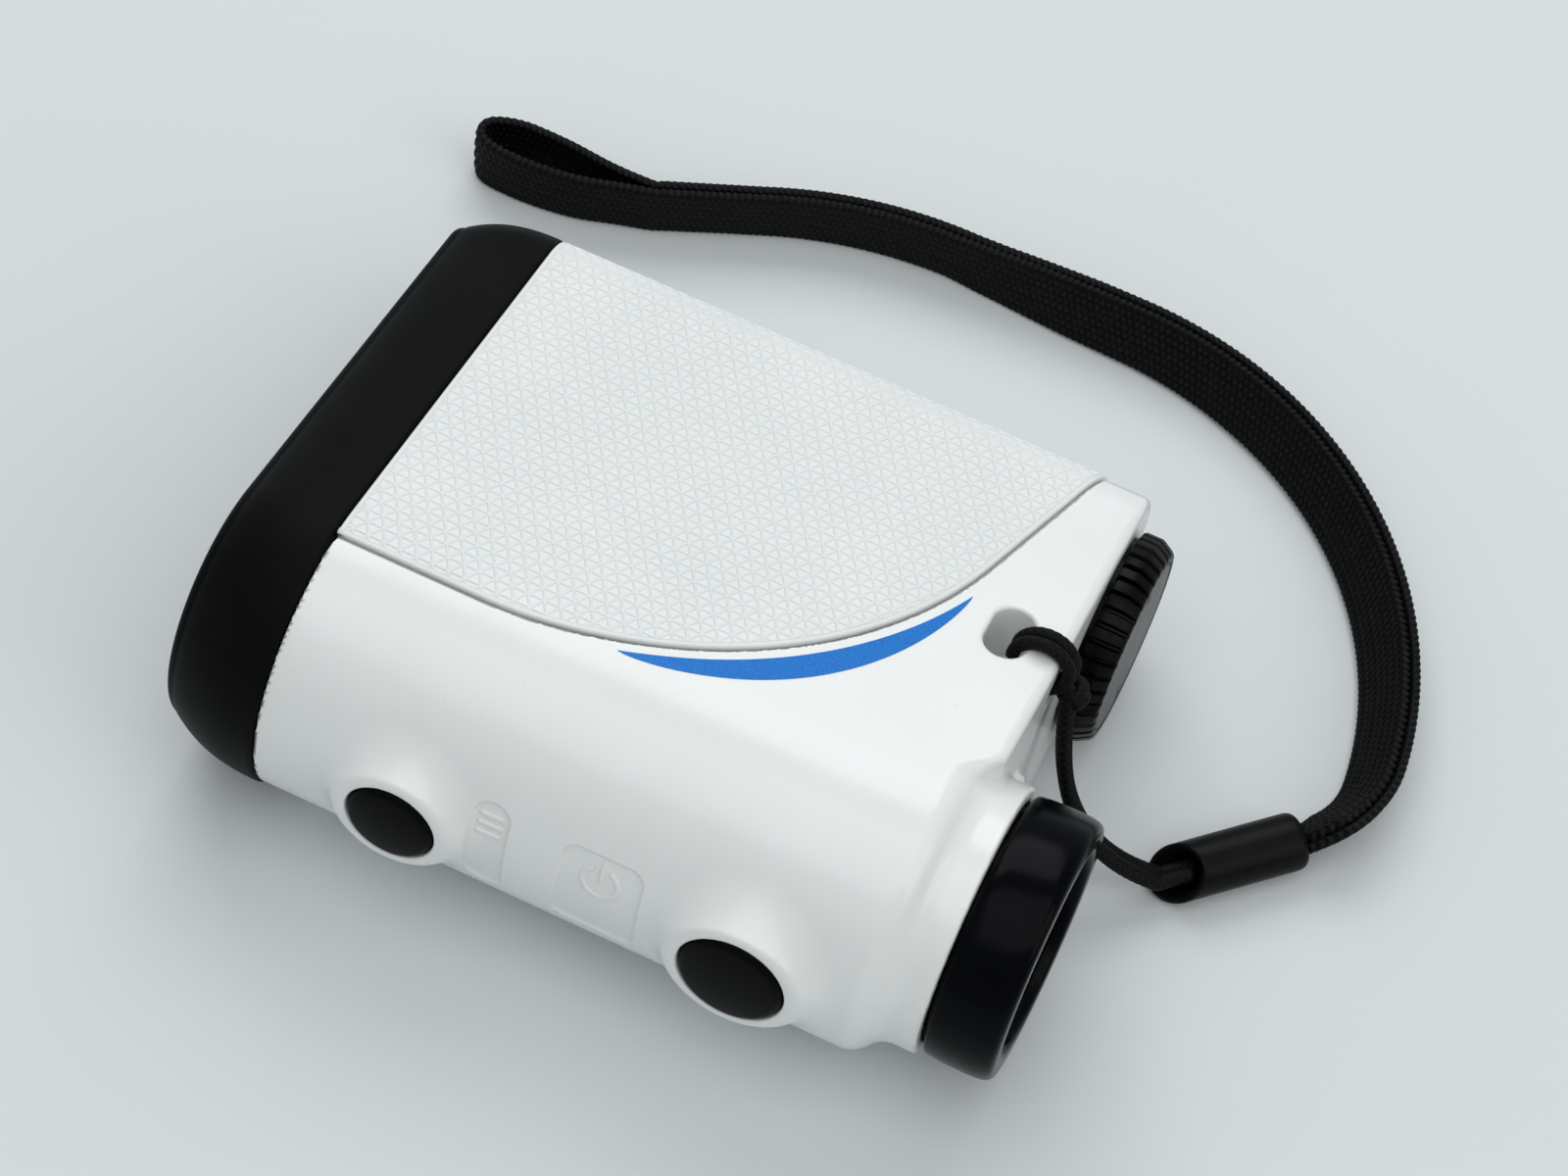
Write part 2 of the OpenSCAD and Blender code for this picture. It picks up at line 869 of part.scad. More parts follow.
module strap_cord() {
    color(black)
        for (i = [0:cord_steps - 1])
            hull() {
                translate(cord_point(cord_start + (1 - cord_start) * i / cord_steps))
                    sphere(strand_r, $fn = 20);
                translate(cord_point(cord_start + (1 - cord_start) * (i + 1) / cord_steps))
                    sphere(strand_r, $fn = 20);
            }
}

module strap_ferrule() {
    d = ferrule_out - ferrule_in;
    length = norm(d);
    color(black)
        translate(ferrule_in)
            rotate([0, 90, atan2(d.y, d.x)])
                difference() {
                    cylinder(h = length, r = ferrule_r);
                    translate([0, 0, -cut]) cylinder(h = 3.1, r = 1.6, $fn = 32);
                    translate([0, 0, length - 2]) cylinder(h = 3, r = 2.4, $fn = 32);
                }
}

// The band's middle line starts beside the ferrule. Each leg is [radius, angle turned to the left],
// and a leg whose angle is 0 is a straight of that length.
band_start = [-63.4, -10.5];
band_heading = 228;
band_legs = [[11.8, 47.5], [45.8, 83.5], [20, 0], [51, 26.5], [13.5, 0]];
band_w = 2 * band_t + 0.1;
arc_step = 6;                          // degrees of turn between two points of an arc
loop_heading = -3;
loop_l = 20;
loop_r = 2.4;

function arc_end(p, h, r, a) = p + r * [sin(h + a) - sin(h), cos(h) - cos(h + a)];

function leg_points(p, h, leg) =
    leg[1] == 0
        ? [[p, h]]
        : let (n = ceil(leg[1] / arc_step))
            [for (i = [0:n - 1])
                let (a = leg[1] * i / n)
                [arc_end(p, h, leg[0], a), h + a]];

// Every point of the middle line with its heading, leg after leg.
function band_path(p, h, i = 0) =
    i == len(band_legs)
        ? [[p, h]]
        : let (
            leg = band_legs[i],
            next = leg[1] == 0 ? p + leg[0] * [cos(h), sin(h)] : arc_end(p, h, leg[0], leg[1])
        )
        concat(leg_points(p, h, leg), band_path(next, h + leg[1], i + 1));

function beside(path, s) = [for (q = path) q[0] + s * [-sin(q[1]), cos(q[1])]];

module band_outline() {
    path = band_path(band_start, band_heading);
    left = beside(path, band_w / 2);
    right = beside(path, -band_w / 2);
    polygon(concat(left, [for (i = [len(right) - 1:-1:0]) right[i]]));
    translate(path[len(path) - 1][0])
        rotate(loop_heading)
            difference() {
                teardrop(loop_l, loop_r, band_w / 2);
                translate([4, 0]) teardrop(loop_l - 4 - band_t, loop_r - band_t, 0.2);
            }
}

// A round end joined by straight sides to a blunt end at the origin.
module teardrop(length, r, half_w) {
    reach = length - r;
    translate([reach, 0]) circle(r);
    polygon([[-half_w, half_w], [reach, r], [reach, -r], [-half_w, -half_w]]);
}

module wrist_band() {
    color(black)
        translate([0, 0, 0.1])
            linear_extrude(band_h)
                band_outline();
}

main_shell();
grip_cover();
front_bumper();
front_frame();
front_gasket();
front_plate();
front_screws();
chassis();
chassis_screws();
objective_cell();
objective_front_lens();
objective_rear_lens();
objective_retainer();
beam_splitter();
helper_prism();
roof_prism();
prism_holder();
field_stop();
reticle_display();
detector();
detector_board();
laser_tube();
laser_lens();
laser_retainer();
laser_diode();
laser_board();
main_board();
board_parts();
flex_cable();
button_board();
tact_switches();
battery_tube();
tube_contact();
power_button();
power_seal();
mode_button();
mode_seal();
eyecup();
dioptre_sleeve();
sleeve_ring();
sleeve_seal();
eyepiece_cell();
eye_lens();
field_lens();
eyepiece_retainers();
battery();
cap_contact();
battery_cap();
cap_seal();
strap_hitch();
strap_cord();
strap_ferrule();
wrist_band();
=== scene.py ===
"""Looks for the laser rangefinder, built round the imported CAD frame.

Most shapes are worked out in millimetres in the device frame: +X along the optical axis from the
eyecup's rim, +Y towards the buttons, +Z across the thickness, origin on the axis. to_row() turns
that frame by the side panel's slope and moves it to where the CAD put the part. The strap is worked
out in the row frame, also in millimetres.
"""

import json
import math

import bmesh
import bpy
import numpy as np
from mathutils import Matrix, Vector


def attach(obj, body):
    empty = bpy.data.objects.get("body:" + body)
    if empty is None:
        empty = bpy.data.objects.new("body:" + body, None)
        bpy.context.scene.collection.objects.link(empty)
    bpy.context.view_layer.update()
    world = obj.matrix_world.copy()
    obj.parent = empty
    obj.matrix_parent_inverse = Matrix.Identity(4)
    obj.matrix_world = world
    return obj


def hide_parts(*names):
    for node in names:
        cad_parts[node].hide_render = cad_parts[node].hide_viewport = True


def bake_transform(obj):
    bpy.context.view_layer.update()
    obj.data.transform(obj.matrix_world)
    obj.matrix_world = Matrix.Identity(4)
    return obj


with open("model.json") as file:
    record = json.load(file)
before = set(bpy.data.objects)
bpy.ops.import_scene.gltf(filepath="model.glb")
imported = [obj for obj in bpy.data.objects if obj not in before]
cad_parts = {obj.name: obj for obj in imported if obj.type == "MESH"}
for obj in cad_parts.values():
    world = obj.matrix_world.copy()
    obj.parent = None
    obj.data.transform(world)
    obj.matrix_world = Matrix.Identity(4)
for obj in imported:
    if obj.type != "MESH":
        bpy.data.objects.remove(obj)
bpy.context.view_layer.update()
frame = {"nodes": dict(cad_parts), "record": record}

MM = 0.001

# ---- sizes shared with the CAD ----

TUBE_R = 16.9
EDGE_D = 53.0
CORNER_R = 6.0
SLOPE = math.radians(6.2)
WALL_X = 10.8
SPLIT_X = 79.6
BODY_L = 91.0
PROUD = 0.3
ORIGIN = np.array([-45.2, 23.5, TUBE_R + PROUD])

PANEL_N = np.array([-math.sin(SLOPE), math.cos(SLOPE)])
PANEL_T = np.array([-math.cos(SLOPE), -math.sin(SLOPE)])
CORNER_Y = CORNER_R - EDGE_D
CORNER_Z = (TUBE_R - CORNER_R + CORNER_Y * math.sin(SLOPE)) / math.cos(SLOPE)
PANEL_L = PANEL_T[0] * CORNER_Y + PANEL_T[1] * CORNER_Z
CORNER_TURN = math.pi / 2 - SLOPE

COLLAR_X = 7.85
COLLAR_R = 14.4
COLLAR_BORE_R = 12.55

# Each button: distance along X and radius.
POWER = (26.4, 5.6)
MODE = (63.5, 4.75)
BOSS_TOP = 18.7

BATTERY_Y = -40.4
PORT_R = 9.3
CAP_R = 11.5
CAP_RIBS = 40

# The groove round the grip cover: a straight run, a sweep, and a straight run to the battery edge.
SEAM_Y = 1.7
SEAM_X = 64.0
SEAM_R = 44.0
SEAM_TURN = math.radians(75)
SEAM_GAP = 0.35
SEAM_CENTRE = np.array([SEAM_X, SEAM_Y - SEAM_R])
SEAM_OUT = np.array([-math.sin(SEAM_TURN), math.cos(SEAM_TURN)])
SEAM_DOWN = np.array([-math.cos(SEAM_TURN), -math.sin(SEAM_TURN)])
SEAM_END = SEAM_CENTRE + SEAM_R * SEAM_OUT

EYELET_D = 22.0
EYELET_X = 16.75
EYELET_R = 2.25
EYELET_L = 7.2
BAR_X = 12.7
BAR_Z = -1.85


def to_row(points):
    """Device frame to row frame, both in millimetres."""
    p = np.asarray(points, float).reshape(-1, 3)
    c, s = math.cos(SLOPE), math.sin(SLOPE)
    turned = np.stack([p[:, 0], p[:, 1] * c - p[:, 2] * s, p[:, 1] * s + p[:, 2] * c], 1)
    return turned + ORIGIN


def turn_to_row(vectors):
    v = np.asarray(vectors, float).reshape(-1, 3)
    return to_row(v) - ORIGIN


# ---- materials ----


class Shader:
    """A node material with short calls for the nodes used here. Coordinates are the piece's own, in metres."""

    def __init__(self, name):
        self.material = bpy.data.materials.new(name)
        self.material.use_nodes = True
        self.tree = self.material.node_tree
        self.surface = self.tree.nodes["Principled BSDF"]
        self.where = self.tree.nodes.new("ShaderNodeTexCoord").outputs["Object"]

    def set(self, **values):
        for name, value in values.items():
            socket = self.surface.inputs[name.replace("_", " ")]
            if isinstance(value, bpy.types.NodeSocket):
                self.tree.links.new(value, socket)
            else:
                socket.default_value = value
        return self

    def node(self, kind, inputs, **settings):
        n = self.tree.nodes.new("ShaderNode" + kind)
        for name, value in settings.items():
            setattr(n, name, value)
        for key, value in inputs.items():
            if isinstance(value, bpy.types.NodeSocket):
                self.tree.links.new(value, n.inputs[key])
            else:
                n.inputs[key].default_value = value
        return n

    def stretched(self, x, y, z):
        return self.node("Mapping", {"Vector": self.where, "Scale": (x, y, z)}).outputs[0]

    def noise(self, scale, detail=3.0, roughness=0.5, vector=None):
        inputs = {"Vector": vector or self.where, "Scale": scale, "Detail": detail}
        inputs["Roughness"] = roughness
        return self.node("TexNoise", inputs).outputs["Fac"]

    def cells(self, scale, vector=None):
        inputs = {"Vector": vector or self.where, "Scale": scale}
        return self.node("TexVoronoi", inputs).outputs["Distance"]

    def span(self, value, low, high, to_low=0.0, to_high=1.0):
        inputs = {0: value, 1: low, 2: high, 3: to_low, 4: to_high}
        return self.node("MapRange", inputs).outputs[0]

    def math(self, operation, a, b=0.0):
        return self.node("Math", {0: a, 1: b}, operation=operation).outputs[0]

    def mix(self, factor, a, b):
        n = self.node("Mix", {0: factor}, data_type="RGBA")
        for socket, value in ((n.inputs[6], a), (n.inputs[7], b)):
            if isinstance(value, bpy.types.NodeSocket):
                self.tree.links.new(value, socket)
            else:
                socket.default_value = (*value, 1.0)
        return n.outputs[2]

    def bump(self, height, distance, strength=1.0, under=None):
        inputs = {"Height": height, "Distance": distance, "Strength": strength}
        if under:
            inputs["Normal"] = under
        return self.node("Bump", inputs).outputs[0]


def gloss_white():
    m = Shader("gloss_white")
    cloud = m.noise(70, 4)
    colour = m.mix(m.span(cloud, 0.35, 0.7), (0.775, 0.79, 0.772), (0.8, 0.812, 0.796))
    peel = m.bump(m.noise(1100, 2), 0.000003, 0.3)
    m.set(Base_Color=colour, Roughness=m.span(m.noise(160, 3), 0.3, 0.7, 0.27, 0.3))
    m.set(Normal=peel, Coat_Weight=0.35, Coat_Roughness=0.12, IOR=1.49)
    m.set(Subsurface_Weight=0.06, Subsurface_Radius=(0.002, 0.002, 0.002), Subsurface_Scale=0.6)
    return m.material


def grip_white():
    m = Shader("grip_white")
    cloud = m.noise(60, 4)
    colour = m.mix(m.span(cloud, 0.3, 0.7), (0.735, 0.757, 0.742), (0.775, 0.79, 0.777))
    grain = m.bump(m.noise(5200, 2), 0.000012, 0.45)
    m.set(Base_Color=colour, Roughness=m.span(m.noise(220, 3), 0.3, 0.7, 0.38, 0.5))
    m.set(Normal=grain, IOR=1.48, Coat_Weight=0.08, Coat_Roughness=0.3)
    return m.material


def bumper_rubber():
    m = Shader("bumper_rubber")
    smudge = m.span(m.noise(45, 5, 0.6), 0.45, 0.75)
    colour = m.mix(smudge, (0.002, 0.0021, 0.0024), (0.005, 0.005, 0.0054))
    skin = m.bump(m.noise(4200, 3), 0.00002, 0.5)
    m.set(Base_Color=colour, Roughness=m.span(smudge, 0, 1, 0.48, 0.6), Normal=skin)
    m.set(Specular_IOR_Level=0.055)
    return m.material


def soft_black(name, colour, roughness, grain_scale=3000, grain=0.000015, level=0.5):
    m = Shader(name)
    cloud = m.span(m.noise(90, 4), 0.35, 0.7)
    lighter = tuple(1.5 * c + 0.0004 for c in colour)
    m.set(Base_Color=m.mix(cloud, colour, lighter))
    m.set(Roughness=m.span(cloud, 0, 1, roughness - 0.04, roughness + 0.05))
    m.set(Normal=m.bump(m.noise(grain_scale, 3), grain, 0.6), Specular_IOR_Level=level)
    return m.material


def cap_disc_grey():
    m = Shader("cap_disc_grey")
    streak = m.noise(900, 4, 0.6, m.stretched(1, 1, 0.06))
    colour = m.mix(m.span(streak, 0.3, 0.7), (0.04, 0.039, 0.038), (0.09, 0.088, 0.085))
    m.set(Base_Color=colour, Roughness=m.span(streak, 0.2, 0.8, 0.36, 0.52), Metallic=0.35)
    m.set(Normal=m.bump(streak, 0.00001, 0.5))
    return m.material


def nylon(name, lightness, fibre_scale):
    """Twisted threads. Their crowns, stored on the mesh as "thread", get a painted highlight: their base colour is
    painted lighter than the gaps, mixed with the fibre noise.
    """
    m = Shader(name)
    crown = m.node("Attribute", {}, attribute_name="thread").outputs["Fac"]
    fibre_and_crown_highlight = m.math("MULTIPLY", m.noise(fibre_scale, 5, 0.65), m.span(crown, 0, 1, 0.3, 1.5))
    # Painted highlight: the crowns of the threads take the lighter high colour, the gaps the near-black low
    # colour.
    low = (0.0002 * lightness, 0.0002 * lightness, 0.0002 * lightness)
    high = (0.02 * lightness, 0.02 * lightness, 0.0206 * lightness)
    m.set(Base_Color=m.mix(m.span(fibre_and_crown_highlight, 0.3, 0.8), low, high))
    m.set(Roughness=m.span(fibre_and_crown_highlight, 0.3, 0.7, 0.5, 0.7), Specular_IOR_Level=0.1)
    m.set(Normal=m.bump(fibre_and_crown_highlight, 0.00005, 0.7))
    return m.material


def stripe_blue():
    m = Shader("stripe_blue")
    flake = m.span(m.cells(5200), 0.05, 0.6)
    colour = m.mix(flake, (0.0, 0.24, 0.74), (0.0, 0.14, 0.52))
    m.set(Base_Color=colour, Roughness=0.42, Specular_IOR_Level=0.25)
    m.set(Normal=m.bump(flake, 0.000006, 0.4))
    return m.material


def metal(name, colour, roughness, stretch=(1, 1, 1)):
    m = Shader(name)
    streak = m.noise(1500, 4, 0.6, m.stretched(*stretch))
    darker = tuple(0.8 * c for c in colour)
    m.set(Base_Color=m.mix(m.span(streak, 0.3, 0.7), darker, colour), Metallic=1.0)
    m.set(Roughness=m.span(streak, 0.2, 0.8, roughness - 0.05, roughness + 0.08))
    m.set(Normal=m.bump(streak, 0.000008, 0.5))
    return m.material


def coated_glass():
    """Lens glass with a green-tinted coat; its base colour turns violet towards grazing angles, a painted
    reflection of the coating.
    """
    m = Shader("coated_glass")
    facing = m.node("LayerWeight", {"Blend": 0.35}).outputs["Facing"]
    # Painted reflection: the base colour goes from pale green-white facing the camera to violet at grazing angles.
    grazing_reflection_tint = m.mix(facing, (0.93, 0.97, 0.96), (0.62, 0.55, 0.85))
    dust = m.noise(2600, 3)
    m.set(Base_Color=grazing_reflection_tint, Transmission_Weight=0.92, IOR=1.52)
    m.set(Roughness=m.span(dust, 0.4, 0.8, 0.015, 0.05), Coat_Weight=0.6, Coat_Roughness=0.02)
    m.set(Coat_Tint=(0.55, 0.9, 0.75, 1.0))
    return m.material


def circuit_board():
    m = Shader("circuit_board")
    track = m.node("TexBrick", {"Vector": m.where, "Scale": 420.0, "Mortar Size": 0.03})
    colour = m.mix(track.outputs["Fac"], (0.01, 0.11, 0.05), (0.02, 0.2, 0.09))
    m.set(Base_Color=colour, Roughness=m.span(m.noise(700), 0.3, 0.7, 0.3, 0.42))
    m.set(Normal=m.bump(track.outputs["Fac"], 0.00002, 0.5))
    return m.material


def plain_plastic(name, dark, light, roughness):
    m = Shader(name)
    cloud = m.span(m.noise(200, 4), 0.35, 0.7)
    m.set(Base_Color=m.mix(cloud, dark, light), Roughness=roughness)
    m.set(Normal=m.bump(m.noise(2500, 3), 0.00001, 0.5))
    return m.material


def floor_paper():
    m = Shader("floor_paper")
    mottle = m.span(m.noise(9, 3), 0.3, 0.7)
    colour = m.mix(mottle, (0.672, 0.702, 0.705), (0.69, 0.72, 0.722))
    m.set(Base_Color=colour, Roughness=0.72, Specular_IOR_Level=0.25)
    m.set(Normal=m.bump(m.noise(700, 2), 0.00003, 0.25))
    return m.material


GLOSS_WHITE = gloss_white()
GRIP_WHITE = grip_white()
BUMPER = bumper_rubber()
EYECUP_RUBBER = soft_black("eyecup_rubber", (0.0002, 0.0004, 0.0011), 0.2, 2600, 0.000005, 0.06)
BUTTON_RUBBER = soft_black("button_rubber", (0.0008, 0.0008, 0.0009), 0.42, 3600, 0.00001, 0.06)
CAP_PLASTIC = soft_black("cap_plastic", (0.0006, 0.0006, 0.0006), 0.33, 3200, 0.000008, 0.1)
FERRULE = soft_black("ferrule_plastic", (0.0022, 0.0022, 0.0023), 0.36, 2200, 0.000008, 0.09)
CAP_DISC = cap_disc_grey()
BAND_NYLON = nylon("band_nylon", 0.75, 2600)
CORD_NYLON = nylon("cord_nylon", 0.65, 3600)
STRIPE = stripe_blue()
ANODISED = metal("anodised_black", (0.035, 0.035, 0.038), 0.42, (1, 0.2, 0.2))
ALUMINIUM = metal("satin_aluminium", (0.72, 0.73, 0.75), 0.3, (0.1, 1, 1))
STEEL = metal("zinc_steel", (0.55, 0.56, 0.58), 0.28)
GOLD = metal("gold_contact", (0.8, 0.62, 0.3), 0.22)
GLASS = coated_glass()

SLOT_MATERIAL = {
    "shell": GLOSS_WHITE,
    "cover": GRIP_WHITE,
    "bumper": BUMPER,
    "rubber": EYECUP_RUBBER,
    "black_part": CAP_PLASTIC,
    "bezel": plain_plastic("bezel_black", (0.006, 0.006, 0.007), (0.009, 0.009, 0.01), 0.14),
    "optics_black": ANODISED,
    "bare_aluminium": ALUMINIUM,
    "screw_steel": STEEL,
    "lens_glass": GLASS,
    "board": circuit_board(),
    "chips": plain_plastic("chip_epoxy", (0.012, 0.012, 0.013), (0.02, 0.02, 0.021), 0.5),
    "flex": plain_plastic("flex_film", (0.42, 0.2, 0.03), (0.5, 0.26, 0.05), 0.3),
    "contact": GOLD,
    "cell": plain_plastic("cell_sleeve", (0.03, 0.05, 0.09), (0.04, 0.06, 0.11), 0.3),
    "cord": CORD_NYLON,
    "band": BAND_NYLON,
}


# ---- mesh helpers ----


def piece(name, points_mm, faces, body, slot, material, normals=None, smooth=True):
    """Makes a piece from points in the row frame, in millimetres, and puts it on its body."""
    mesh = bpy.data.meshes.new(name)
    mesh.from_pydata((np.asarray(points_mm) * MM).tolist(), [], faces)
    mesh.validate()
    mesh.materials.append(material)
    if smooth:
        mesh.shade_smooth()
    if normals is not None and len(mesh.vertices) == len(normals):
        mesh.normals_split_custom_set_from_vertices(normals.tolist())
    obj = bpy.data.objects.new(name, mesh)
    bpy.context.scene.collection.objects.link(obj)
    if body:
        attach(obj, body)
    return obj


def store_thread(obj, values):
    """Keeps how high each point stands on its thread, 0 to 1, for the thread material, which paints a highlight on
    the crowns.
    """
    layer = obj.data.attributes.new("thread", "FLOAT", "POINT")
    layer.data.foreach_set("value", np.asarray(values, np.float32).ravel())


def grid_faces(rows, columns, wrap_rows=False, wrap_columns=False):
    faces = []
    for i in range(rows if wrap_rows else rows - 1):
        for j in range(columns if wrap_columns else columns - 1):
            a, b = i * columns + j, i * columns + (j + 1) % columns
            i2 = (i + 1) % rows
            faces.append((a, b, i2 * columns + (j + 1) % columns, i2 * columns + j))
    return faces


def end_caps(rows, columns):
    """Closes both ends of a grid whose rows are rings."""
    last = (rows - 1) * columns
    return [tuple(reversed(range(columns))), tuple(range(last, last + columns))]


def flip(faces):
    return [tuple(reversed(f)) for f in faces]


def arc_points(centre, r, start, end, steps):
    """Points [radius, x] on a circle in a lathe profile. Angles are in degrees from the radius direction."""
    angles = np.radians(np.linspace(start, end, steps + 1))
    return [(centre[0] + r * math.cos(a), centre[1] + r * math.sin(a)) for a in angles]


def lathe(profile, axis_y=0.0, segments=128, radius_change=None):
    """Turns [radius, x] points about a line parallel to X, in the device frame. The profile closes on itself."""
    profile = np.array(profile, float)
    angles = np.linspace(0, 2 * math.pi, segments, endpoint=False)
    points = []
    for r, x in profile:
        radii = np.full(segments, r)
        if radius_change:
            radii = radius_change(r, x, angles)
        ring = [np.full(segments, x), axis_y + radii * np.cos(angles), radii * np.sin(angles)]
        points.append(np.stack(ring, 1))
    return np.concatenate(points), grid_faces(len(profile), segments, True, True)


def outward(points, faces):
    """The faces, turned over if they enclose the points the wrong way round."""
    p = np.asarray(points)
    volume = 0.0
    for f in faces:
        for k in range(1, len(f) - 1):
            volume += np.dot(p[f[0]], np.cross(p[f[k]], p[f[k + 1]]))
    return faces if volume > 0 else flip(faces)


def turned_piece(name, profile, body, slot, material, axis_y=0.0, segments=128, radius_change=None):
    points, faces = lathe(profile, axis_y, segments, radius_change)
    row = to_row(points)
    return piece(name, row, outward(row - row.mean(0), faces), body, slot, material)


def mark_sharp_by_angle(obj, degrees):
    obj.data.set_sharp_from_angle(angle=math.radians(degrees))


# ---- the D-shaped section ----


def section_distance(y, z):
    """Distance from the body's section outline, negative inside."""
    z = np.abs(z)
    across = PANEL_T[0] * y + PANEL_T[1] * z
    d = np.where(across < 0, np.hypot(y, z) - TUBE_R, PANEL_N[0] * y + PANEL_N[1] * z - TUBE_R)
    corner = np.hypot(y - CORNER_Y, z - CORNER_Z) - CORNER_R
    edge = -y - EDGE_D
    past = across > PANEL_L
    return np.where(past, np.where(z < CORNER_Z, edge, corner), d)


def section_point(s, h):
    """A point [y, z] on the outline and h above it. s runs from the upper panel's start round the battery side."""
    s = np.asarray(s, float)
    half = PANEL_L + CORNER_TURN * CORNER_R + CORNER_Z
    lower = s > half
    t = np.where(lower, 2 * half - s, s)
    on_tube = t < 0
    on_corner = (t > PANEL_L) & (t <= PANEL_L + CORNER_TURN * CORNER_R)
    on_edge = t > PANEL_L + CORNER_TURN * CORNER_R
    angle = np.where(on_tube, SLOPE + t / TUBE_R, SLOPE)
    angle = np.where(on_corner, SLOPE + (t - PANEL_L) / CORNER_R, angle)
    angle = np.where(on_edge, math.pi / 2, angle)
    ny, nz = -np.sin(angle), np.cos(angle)
    y = np.where(on_tube, TUBE_R * ny, PANEL_N[0] * TUBE_R + PANEL_T[0] * t)
    z = np.where(on_tube, TUBE_R * nz, PANEL_N[1] * TUBE_R + PANEL_T[1] * t)
    y = np.where(on_corner, CORNER_Y + CORNER_R * ny, y)
    z = np.where(on_corner, CORNER_Z + CORNER_R * nz, z)
    y = np.where(on_edge, -EDGE_D, y)
    z = np.where(on_edge, CORNER_Z - (t - PANEL_L - CORNER_TURN * CORNER_R), z)
    y, z = y + h * ny, z + h * nz
    return y, np.where(lower, -z, z)


def section_outline(inset, arc_steps=88, panel_steps=22, corner_steps=16, edge_steps=8):
    """Closed ring of points [y, z] round the section, drawn in by inset."""
    tube = np.linspace(-(math.pi / 2 + SLOPE), math.pi / 2 + SLOPE, arc_steps + 1)
    r = TUBE_R - inset
    ring = [(r * math.cos(a), r * math.sin(a)) for a in tube]
    c = max(CORNER_R - inset, 0.05)
    start = np.array(ring[-1])
    top = np.array([CORNER_Y, CORNER_Z]) + c * PANEL_N
    ring += [tuple(start + (top - start) * k / panel_steps) for k in range(1, panel_steps)]
    for k in range(corner_steps + 1):
        a = SLOPE + CORNER_TURN * k / corner_steps
        ring.append((CORNER_Y - c * math.sin(a), CORNER_Z + c * math.cos(a)))
    for k in range(1, edge_steps):
        ring.append((CORNER_Y - c, CORNER_Z * (1 - 2 * k / edge_steps)))
    for k in range(corner_steps, -1, -1):
        a = SLOPE + CORNER_TURN * k / corner_steps
        ring.append((CORNER_Y - c * math.sin(a), -CORNER_Z - c * math.cos(a)))
    low, end = np.array([CORNER_Y, -CORNER_Z]) + c * PANEL_N * (1, -1), start * (1, -1)
    ring += [tuple(low + (end - low) * k / panel_steps) for k in range(1, panel_steps)]
    return np.array(ring)


def seam_distance(x, y):
    """Distance from the grip cover's groove as seen from the side, negative on the cover."""
    dx, dy = x - SEAM_CENTRE[0], y - SEAM_CENTRE[1]
    arc = np.hypot(dx, dy) - SEAM_R
    straight = (x - SEAM_END[0]) * SEAM_OUT[0] + (y - SEAM_END[1]) * SEAM_OUT[1]
    past = (x - SEAM_END[0]) * SEAM_DOWN[0] + (y - SEAM_END[1]) * SEAM_DOWN[1] > 0
    d = np.where(past, straight, arc)
    return np.where((x > SEAM_X) & ~past, y - SEAM_Y, d)


# ---- shapes given by a field: negative inside, zero on the surface ----


def blend_and(a, b, r):
    """Both at once, with the edge rounded to radius r."""
    outside = np.hypot(np.maximum(r + a, 0), np.maximum(r + b, 0))
    return np.minimum(-r, np.maximum(a, b)) + outside


def blend_or(a, b, r):
    """Either, with the inside corner filled to radius r."""
    near = np.hypot(np.maximum(r - a, 0), np.maximum(r - b, 0))
    return np.maximum(r, np.minimum(a, b)) - near


def ease(t):
    t = np.clip(t, 0, 1)
    return t * t * (3 - 2 * t)


